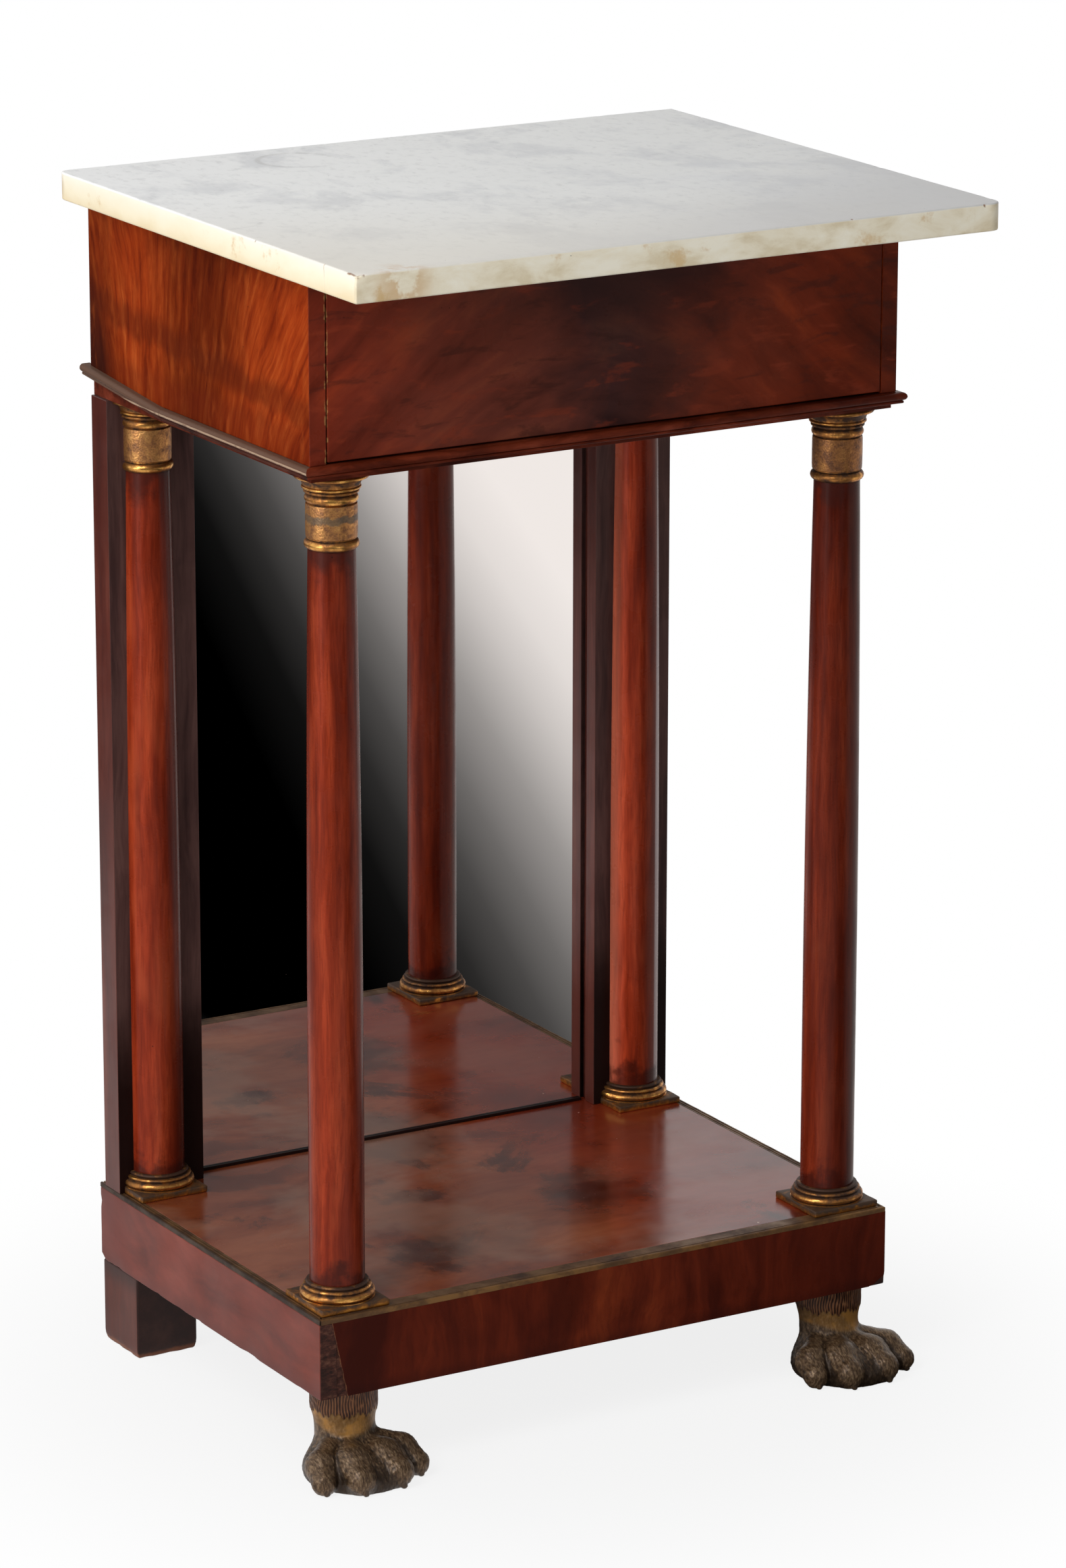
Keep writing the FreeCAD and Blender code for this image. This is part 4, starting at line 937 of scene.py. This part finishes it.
def pilasters():
    """Stiles in one length, rebated for glass and backboard, with a shadow groove beside the glass."""
    low, high = node_box("mirror_glass")
    glass_front, glass_back, glass_side = low[1], high[1], high[0] + 0.2
    stile_low, stile_high = node_box("pilaster_right")
    bottom, top = node_box("shelf_board")[1][2], node_box("soffit_board")[0][2]
    board_side = node_box("mirror_back_board")[1][0] + 0.3
    outer, front, back = stile_high[0], stile_low[1], stile_high[1]
    rebate, groove_floor = glass_back + 0.1, glass_front - GROOVE
    for (side, sign), inner in zip(SIDES, INNER_EDGES):
        outline = [(inner, front), (outer, front), (outer, back), (board_side, back), (board_side, rebate),
                   (glass_side, rebate), (glass_side, groove_floor), (inner, groove_floor)]
        outline = [(sign * x, y) for x, y in outline][::sign]
        piece = make_piece(f"pilaster_veneered_{side}", *prism(outline, bottom, top), [BLACK, STILE],
                           "mahogany_dark", replaces=[f"pilaster_{side}"])
        ease_edges(piece, 0.5)
        finish_some(piece, lambda polygon: abs(polygon.normal.x) > 0.7)


def mirror():
    make_board("mirror_plate_silvered", node_box("mirror_glass"), 0.5, None, MIRROR, "mirror_plate",
               replaces=["mirror_glass"])


# ---- plinth shelf

SETBACK = 0.3                   # the side rails start this far behind the front
TAIL, TAIL_LOSS = 9.0, 6.0      # size and height of what is worn off under their rear ends


def shelf():
    make_board("shelf_veneered", node_box("shelf_board"), 0.5, 12.0, SHELF, "mahogany_shelf",
               replaces=["shelf_board"])
    front = node_box("shelf_front_rail")[0][1]
    for side, _ in SIDES:
        low, high = node_box(f"shelf_side_rail_{side}")
        low[1] = front + SETBACK
        fresh, faces = rounded_box(low, high, 0.9, 5.0)
        points = wear_edges(fresh, low, high, 0.9, 12.0, 3.0)
        tail = unit((fresh[:, 1] - high[1] + TAIL) / TAIL) * unit((low[2] + TAIL - fresh[:, 2]) / TAIL)
        points[:, 2] += tail ** 2 * TAIL_LOSS
        piece = make_piece(f"shelf_rail_veneered_{side}", points, faces, [DUSTY, BROKEN], "mahogany_shelf",
                           replaces=[f"shelf_side_rail_{side}"], flats=True)
        finish_some(piece, lambda polygon: polygon.normal.y < -0.7)
    front_rail()
    brass_edges()


def front_rail():
    """The core of the front rail and the veneer on it, which is broken away at the left end."""
    low, high = node_box("shelf_front_rail")
    sheet, inset = 0.9, 0.35
    core_low = np.array([low[0] + inset, low[1] + sheet, low[2] + 0.2])
    fresh, faces = rounded_box(core_low, (high[0] - inset, high[1], high[2]), 0.8, 2.5)
    points = fresh.copy()
    bare = (fresh[:, 1] < core_low[1] + 2) & (fresh[:, 0] < low[0] + 26)
    points[:, 1] += bare * (np.clip(noise_at(fresh, 5.0, 1.0), -0.5, 1) * 0.9 + 0.1)
    make_piece("shelf_front_core", points, faces, BROKEN, "mahogany_flame", replaces=["shelf_front_rail"],
               flats=True)

    break_top, break_bottom = low[0] + 10.3, low[0] + 22.5
    notch = low[2] + 4.0
    ragged = [(break_top + (break_bottom - break_top) * t + 0.35 * math.sin(t * 31) * t,
               high[2] + (low[2] - high[2]) * t) for t in np.linspace(0, 1, 16)]
    outline = ragged + [(high[0] - 14, low[2]), (high[0] - 9, low[2] + 1.4), (high[0] - 5.5, notch),
                        (high[0] - 0.4, notch + 3.0), (high[0], notch + 6.0), (high[0], high[2])]
    count = len(outline)
    face, back = low[1] + 0.12, low[1] + sheet
    points = [(x, y, z) for y in (face, back) for x, z in outline]
    faces = [list(range(count))]
    faces += [[i, i + count, (i + 1) % count + count, (i + 1) % count] for i in range(count)]
    faces.append([i + count for i in range(count)][::-1])
    piece = make_piece("shelf_front_veneer", points, faces, [BAND, TORN], "mahogany_flame", sharp=30)
    finish_some(piece, lambda polygon: polygon.normal.x < -0.8)

    lip = [(x - 0.55, face + 0.25, z) for x, z in ragged] + [(x + 0.1, face + 0.05, z) for x, z in ragged]
    lip += [(x, y + 0.5, z) for x, y, z in lip]
    rows = len(ragged)
    faces = []
    for a in range(rows - 1):
        b, c, d = a + rows, a + 2 * rows, a + 3 * rows
        faces += [[a, a + 1, b + 1, b], [c, d, d + 1, c + 1], [a, c, c + 1, a + 1], [b, b + 1, d + 1, d]]
    faces += [[0, rows, 3 * rows, 2 * rows], [rows - 1, 3 * rows - 1, 4 * rows - 1, 2 * rows - 1]]
    make_piece("shelf_front_torn_edge", lip, faces, TORN, "mahogany_flame", sharp=30)


def reeded(width, lines, height):
    """Section of a brass strip, grooved at the given places (start, end, depth) from its outer side,
    with a number for each point: high on the ridges, -1 in the grooves."""
    outline = [(0.0, 0.0), (0.0, height - 0.6), (-0.3, height - 0.2), (-0.8, height)]
    crests = [1.0, 1.0, 1.0, 1.0]
    for start, end, depth in lines:
        outline += [(-start, height), (-start - 0.25, height - depth), (-end + 0.25, height - depth),
                    (-end, height)]
        crests += [0.6, -1.0, -1.0, 0.6]
    return outline + [(-width, height), (-width, 0.0)], crests + [0.0, 0.0]


SIDE_STATIONS, FRONT_STATIONS = 60, 80      # places at which the brass strips sway


def brass_edges():
    """Brass on three edges of the shelf, mitred at the front corners and slightly uneven."""
    low, high = node_box("brass_edge_front")
    side_low, side_high = node_box("brass_edge_left")
    right, front, bottom, height = -low[0], low[1], low[2], high[2] - low[2]
    side_width, front_width, gap = side_high[0] - side_low[0], high[1] - low[1], 0.4
    section, crests = reeded(side_width, [(1.6, 2.8, 0.8), (4.2, 5.4, 0.8)], height)
    for side, sign in SIDES:
        stations = []
        for k, y in enumerate(np.linspace(front + gap, side_high[1], SIDE_STATIONS)):
            sway = 0.6 * (0.12 * math.sin(k * 1.7) + 0.1 * math.sin(k * 0.61))
            stations.append(((sign * right + sign * sway, y, bottom), (sign, 0 if k else -1, 0)))
        make_piece(f"brass_reeded_{side}", *extrude(section[::sign], stations), BRASS, "brass",
                   replaces=[f"brass_edge_{side}"], sharp=35,
                   marks={"crest": np.tile(crests[::sign], SIDE_STATIONS)})
    section, crests = reeded(front_width, [(2.2, 3.4, 0.7)], height)
    mitre = side_width / front_width
    leaning = {0: -mitre, FRONT_STATIONS - 1: mitre}
    stations = [((x, front + 0.1 * math.sin(k * 1.3), bottom), (leaning.get(k, 0), -1, 0))
                for k, x in enumerate(np.linspace(gap - right, right - gap, FRONT_STATIONS))]
    make_piece("brass_reeded_front", *extrude(section[::-1], stations[::-1]), BRASS, "brass",
               replaces=["brass_edge_front"], sharp=35,
               marks={"crest": np.tile(crests[::-1], FRONT_STATIONS)})


# ---- feet


def block_feet():
    for side, _ in SIDES:
        low, high = node_box(f"block_foot_{side}")
        high[2] = node_box("shelf_front_rail")[0][2]
        points, faces = rounded_box(low, high, 1.6, 3.0)
        rise = unit((points[:, 2] - low[2]) / 8.0)
        middle = (low + high) / 2
        tuck = (1 - rise) ** 2 * (1.6 + noise_at(points, 8.0, 4.0) * 1.2)
        for axis in (0, 1):
            away = points[:, axis] - middle[axis]
            points[:, axis] -= np.sign(away) * tuck * (np.abs(away) > (high[axis] - low[axis]) / 2 - 2.2)
        make_piece(f"block_foot_worn_{side}", points, faces, FOOT, "mahogany_dark",
                   replaces=[f"block_foot_{side}"], flats=True)


def smooth_min(a, b, blend):
    share = unit(0.5 + 0.5 * (b - a) / blend)
    return b * (1 - share) + a * share - blend * share * (1 - share)


def round_cone(p, a, b, ra, rb):
    """Distance to a rod between points a and b whose radius runs from ra to rb."""
    a, b = np.asarray(a, float), np.asarray(b, float)
    way = b - a
    share = unit((p - a) @ way / (way @ way))
    nearest = a + share[:, None] * way
    return np.linalg.norm(p - nearest, axis=1) - (ra + (rb - ra) * share)


def ellipsoid(p, centre, radii):
    return (np.linalg.norm((p - np.array(centre)) / np.array(radii), axis=1) - 1) * min(radii)


ANKLE_FROM_HEEL = 27.0
FOOT_TOP = 64
FRINGE_HEIGHT, BAND_HEIGHT, FUR_HEIGHT = 46.0, 33, 34   # where hair and band begin, where fur ends
TOES = ((-35.5, -37.0, 12.4), (-14.5, -49.0, 15.0), (15.0, -49.5, 14.6), (38.0, -38.0, 12.0))


def paw_distance(p):
    """Signed distance to the paw, with the ankle's axis at the origin and the toes towards -Y."""
    ankle = round_cone(p, (0, 0, 72), (0, 0, 50), 24.6, 24.0)
    ankle = smooth_min(ankle, round_cone(p, (0, 0, 50), (0, -1, 34), 23.4, 21.2), 2.0)
    ankle = smooth_min(ankle, round_cone(p, (0, -1, 34), (0, -5, 12), 21.2, 24.5), 3.0)
    body = smooth_min(ankle, ellipsoid(p, (1, -20, 6), (38, 41, 21)), 7.0)
    toes = np.full(len(p), 1e3)
    for x, y, size in TOES:
        root, knuckle = (x * 0.4, y * 0.3, 22), (x * 0.87, y * 0.74, 15.2)
        tip = (x * 1.03, y - 4.0, size * 0.74)
        rear = round_cone(p, root, knuckle, 9.0, size)
        front = round_cone(p, knuckle, tip, size, size * 0.76)
        toes = smooth_min(toes, smooth_min(rear, front, 3.0), 1.6)
    whole = smooth_min(body, toes, 3.0)
    for x, y, size in TOES:
        claw = round_cone(p, (x * 1.03, y - size * 0.7, 8.0), (x * 1.045, y - size * 0.78, 2.8), 3.8, 2.5)
        whole = smooth_min(whole, claw, 1.0)
    return np.maximum(whole, -p[:, 2])


def neighbours(axis):
    """Index of every grid point but the last along an axis, and of the point after each."""
    lower, upper = [slice(None)] * 3, [slice(None)] * 3
    lower[axis], upper[axis] = slice(0, -1), slice(1, None)
    return tuple(lower), tuple(upper)


def surface_net(distance, low, high, cell):
    """Points and quads of the surface where a signed distance is zero, one point in each crossed cell."""
    axes = [np.arange(a, b + cell, cell) for a, b in zip(low, high)]
    grid = np.stack(np.meshgrid(*axes, indexing="ij"), axis=-1)
    value = distance(grid.reshape(-1, 3)).reshape([len(a) for a in axes])
    cells = [len(a) - 1 for a in axes]
    total, count = np.zeros(cells + [3]), np.zeros(cells)
    for axis in range(3):
        u, v = [a for a in range(3) if a != axis]
        lower, upper = neighbours(axis)
        va, vb = value[lower], value[upper]
        crossed = (va < 0) != (vb < 0)
        crossing = grid[lower].copy()
        crossing[..., axis] += np.where(crossed, va / np.where(va == vb, 1, va - vb), 0) * cell
        for du in (0, 1):
            for dv in (0, 1):
                pick = [slice(None)] * 3
                pick[u], pick[v] = slice(du, du + cells[u]), slice(dv, dv + cells[v])
                hit = crossed[tuple(pick)]
                total += crossing[tuple(pick)] * hit[..., None]
                count += hit
    used = count > 0
    index = np.full(cells, -1)
    index[used] = np.arange(used.sum())
    faces = []
    for axis in range(3):
        u, v = (axis + 1) % 3, (axis + 2) % 3
        inside, inside_next = [value[part] < 0 for part in neighbours(axis)]
        for place in np.argwhere(inside != inside_next):
            if place[u] == 0 or place[v] == 0 or place[u] >= cells[u] or place[v] >= cells[v]:
                continue
            ring = []
            for du, dv in ((1, 1), (0, 1), (0, 0), (1, 0)):
                key = place.copy()
                key[u] -= du
                key[v] -= dv
                ring.append(index[tuple(key)])
            faces.append(ring if inside[tuple(place)] else ring[::-1])
    return total[used] / count[used][:, None], faces


def gradient(distance, p, step=0.2):
    slope = np.stack([distance(p + shift) - distance(p - shift) for shift in np.eye(3) * step], axis=1)
    return slope / (np.linalg.norm(slope, axis=1, keepdims=True) + 1e-9)


def paw_feet():
    """Lion's paws: hair fringe at the ankle, a gilded band, four furred toes with claws."""
    points, faces = surface_net(paw_distance, (-53, -74, -2), (53, 31, 68), 0.9)
    for _ in range(3):
        points = points - gradient(paw_distance, points) * paw_distance(points)[:, None]
    normal = gradient(paw_distance, points)
    height = points[:, 2]
    turn = np.arctan2(points[:, 0], -points[:, 1])
    sway = noise_at(points, 11.0, 8.0)
    fringe_end = FRINGE_HEIGHT + 1.4 * np.sin(turn * 9 + 1.0) + 1.3 * np.sin(turn * 31 + 4 * sway)
    hair = unit((height - fringe_end) / 1.0)
    strands = np.abs(np.sin(turn * 36 + 2.0 * sway + 0.8 * np.sin(height * 0.3 + 2 * turn)))
    strands = unit(strands * 1.1 + 0.35 * noise_at(points * np.array([1, 1, 0.35]), 2.2, 6.0))
    fur = noise_at(points * np.array([1, 0.3, 0.32]), 1.1, 3.0) + 0.5 * noise_at(points, 1.3, 5.0)
    paw = unit((FUR_HEIGHT - height) / 10)
    relief = (hair * (0.6 * strands - 0.1) + paw * 0.42 * fur) * unit(height / 1.5)
    points = points + normal * relief[:, None]
    points[:, 2] = np.clip(points[:, 2], 0, FOOT_TOP)
    band = unit((height - BAND_HEIGHT + 3 * np.sin(turn * 2 + 0.9)) / 3) * (1 - hair)
    hollow = unit((4.0 - paw_distance(points + normal * 4.0)) / 2.0)
    # crest: rubbed fur crests, lighter where they face upwards (painted highlight from above); hollows darker
    highlight_from_above = unit(normal[:, 2] * 1.2)
    crest = hair * (1.3 * strands - 0.15) + (1 - hair) * (0.9 * fur * (0.45 + 0.55 * highlight_from_above) - 1.5 * hollow)
    claw = np.zeros(len(points))
    for x, y, size in TOES:
        tip = round_cone(points, (x * 1.03, y - size * 0.8, 7.0), (x * 1.045, y - size * 0.82, 2.6), 2.4, 1.9)
        claw = np.maximum(claw, unit(1.0 - tip / 0.8))
    for side, sign in SIDES:
        low, high = node_box(f"paw_foot_{side}")
        ankle = np.array([(low[0] + high[0]) / 2, high[1] - ANKLE_FROM_HEEL, 0])
        placed = points * np.array([sign, 1, 1]) + ankle
        make_piece(f"paw_carved_{side}", placed, [ring[::sign] for ring in faces], BRONZE, "paw_bronze",
                   replaces=[f"paw_foot_{side}"], sharp=80,
                   marks={"crest": crest, "hair": hair, "band": band, "claw": claw})


# ---- nodes that keep their CAD shape


WELD_GAP, EASED = 0.01, 0.4     # points closer than this are one; width of the eased edges


def dress_nodes():
    pairs = [f"{name}_{side}" for name in ("kicker", "drawer_stop", "drawer_side", "corner_block_front",
                                           "corner_block_rear") for side, _ in SIDES]
    finishes = {
        PINE: pairs + ["frieze_back", "top_rail", "drawer_back", "drawer_bottom", "mirror_back_board",
                       "shelf_back_rail"],
        BLACK: ["mirror_head_rail", "mirror_foot_slip"],
        MOULDED: ["soffit_board"],
        WIRE: ["drawer_bottom_pins", "mirror_board_pins"],
    }
    for material, names in finishes.items():
        for name in names:
            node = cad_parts[name]
            node.data.materials.clear()
            node.data.materials.append(material)
            if material is WIRE:
                continue
            node.modifiers.new("weld", "WELD").merge_threshold = WELD_GAP * MM
            bevel = node.modifiers.new("eased", "BEVEL")
            bevel.width = EASED * MM
            bevel.limit_method = "ANGLE"


# ---- stage, light and camera

# What a shiny surface sees of the floor on the right: distance in front of the table, grey 0 to 255.
CARD = ((0.17, 0), (0.235, 16), (0.28, 42), (0.325, 72), (0.37, 106), (0.43, 150), (0.5, 201), (0.55, 224),
        (0.62, 238))
FLOOR_HALF = 9.0
AMBIENT = 0.43
CAMERA_PLACE = (-2.2639, -3.8567, 1.7226)
CAMERA_WAY = (0.48423, 0.83081, -0.27436)
CAMERA_LENS = 146.93
CAMERA_SHIFT = (0.01795, 0.00685)


def add_thing(name, data):
    thing = bpy.data.objects.new(name, data)
    bpy.context.scene.collection.objects.link(thing)
    return thing


def reflected_floor(look):
    """What shiny things see of the floor: bright beside the table on the left and dim farther off,
    and on the right passing from the dark in front into the light."""
    near, far = CARD[0][0], CARD[-1][0]
    stops = [((place - near) / (far - near), v * 1.02, v * 0.99, v * 0.972) for place, v in CARD]
    right = (look.y * 0.39 + look.x).stripes(near, far, *stops)
    away = look.distance(0, 0, 0)
    sidelong = abs(look.y) / away
    window = look.mix(sidelong.span(0.6, 0.15), rgb(70, 68, 68), rgb(206, 203, 200))
    left = look.mix(away.span(1.4, 1.8), rgb(244, 240, 238), window)
    return look.mix(look.x.span(-0.1, 0.2), left, right)


def build_floor():
    """A pale floor that the camera sees as white, apart from the object's shadow."""
    look = new_look("floor_pale")
    seen_by_camera = look.node("ShaderNodeLightPath", {}, out="Is Camera Ray")
    seen_by_gloss = look.node("ShaderNodeLightPath", {}, out="Is Glossy Ray")
    pale = look.node("ShaderNodeBsdfDiffuse", {"Color": rgb(216, 216, 216)})
    white = look.node("ShaderNodeEmission", {"Color": (1, 1, 1, 1), "Strength": 1.0})
    clear = look.distance(0, 0, 0).span(0.2, 0.6, 1.0, 0.84) * seen_by_camera
    seen = look.node("ShaderNodeMixShader", {0: clear, 1: pale, 2: white})
    glow = look.node("ShaderNodeEmission", {"Color": reflected_floor(look), "Strength": 1.0})
    look.end("ShaderNodeOutputMaterial", look.node("ShaderNodeMixShader", {0: seen_by_gloss, 1: seen, 2: glow}))
    mesh = bpy.data.meshes.new("floor")
    corners = [(x * FLOOR_HALF, y * FLOOR_HALF, 0) for x, y in ((-1, -1), (1, -1), (1, 1), (-1, 1))]
    mesh.from_pydata(corners, [], [(0, 1, 2, 3)])
    mesh.materials.append(look.owner)
    add_thing("floor", mesh)


def build_world():
    """A pale world, a little brighter from the left, that the camera sees as white."""
    world = bpy.data.worlds.new("studio")
    bpy.context.scene.world = world
    sky = Look(world, "Generated")
    gleam = sky.y.span(-0.3, 0.4, 1.0, 0.25)
    ambient = sky.x * (-0.7 * AMBIENT) + AMBIENT
    gloss = sky.node("ShaderNodeLightPath", {}, out="Is Glossy Ray")
    camera_ray = sky.node("ShaderNodeLightPath", {}, out="Is Camera Ray")
    level = sky.node("ShaderNodeMix", {0: gloss, 2: ambient, 3: gleam})
    level = sky.node("ShaderNodeMix", {0: camera_ray, 2: level, 3: 1.0})
    light = sky.node("ShaderNodeBackground", {"Color": (1, 1, 1, 1), "Strength": level})
    sky.end("ShaderNodeOutputWorld", light)


def add_lamp(name, place, target, size, power):
    lamp = bpy.data.lights.new(name, "AREA")
    lamp.shape = "RECTANGLE"
    lamp.size, lamp.size_y = size
    lamp.energy = power
    thing = add_thing(name, lamp)
    thing.location = place
    thing.rotation_euler = (Vector(target) - Vector(place)).to_track_quat("-Z", "Y").to_euler()


def add_camera():
    """A long lens at the photograph's place: in front, to the left and above."""
    data = bpy.data.cameras.new("camera")
    data.sensor_fit = "AUTO"
    data.sensor_width = 36.0
    data.lens = CAMERA_LENS
    data.shift_x, data.shift_y = CAMERA_SHIFT
    data.clip_end = 60
    thing = add_thing("camera", data)
    thing.location = CAMERA_PLACE
    thing.rotation_mode = "QUATERNION"
    thing.rotation_quaternion = Vector(CAMERA_WAY).normalized().to_track_quat("-Z", "Y")
    bpy.context.scene.camera = thing


marble_slab()
frieze_boards()
mouldings()
columns()
pilasters()
mirror()
shelf()
block_feet()
paw_feet()
dress_nodes()
build_floor()
build_world()
add_lamp("key", (-2.25, -1.05, 2.4), (0, 0, 0.5), (1.2, 2.0), 49)
add_lamp("window", (-2.9, -0.55, 0.75), (0, 0, 0.4), (0.9, 0.9), 14)
add_lamp("fill", (-0.1, -2.9, 0.9), (0, 0, 0.5), (0.8, 1.2), 3.5)
add_camera()
bpy.context.scene.view_settings.view_transform = "Standard"
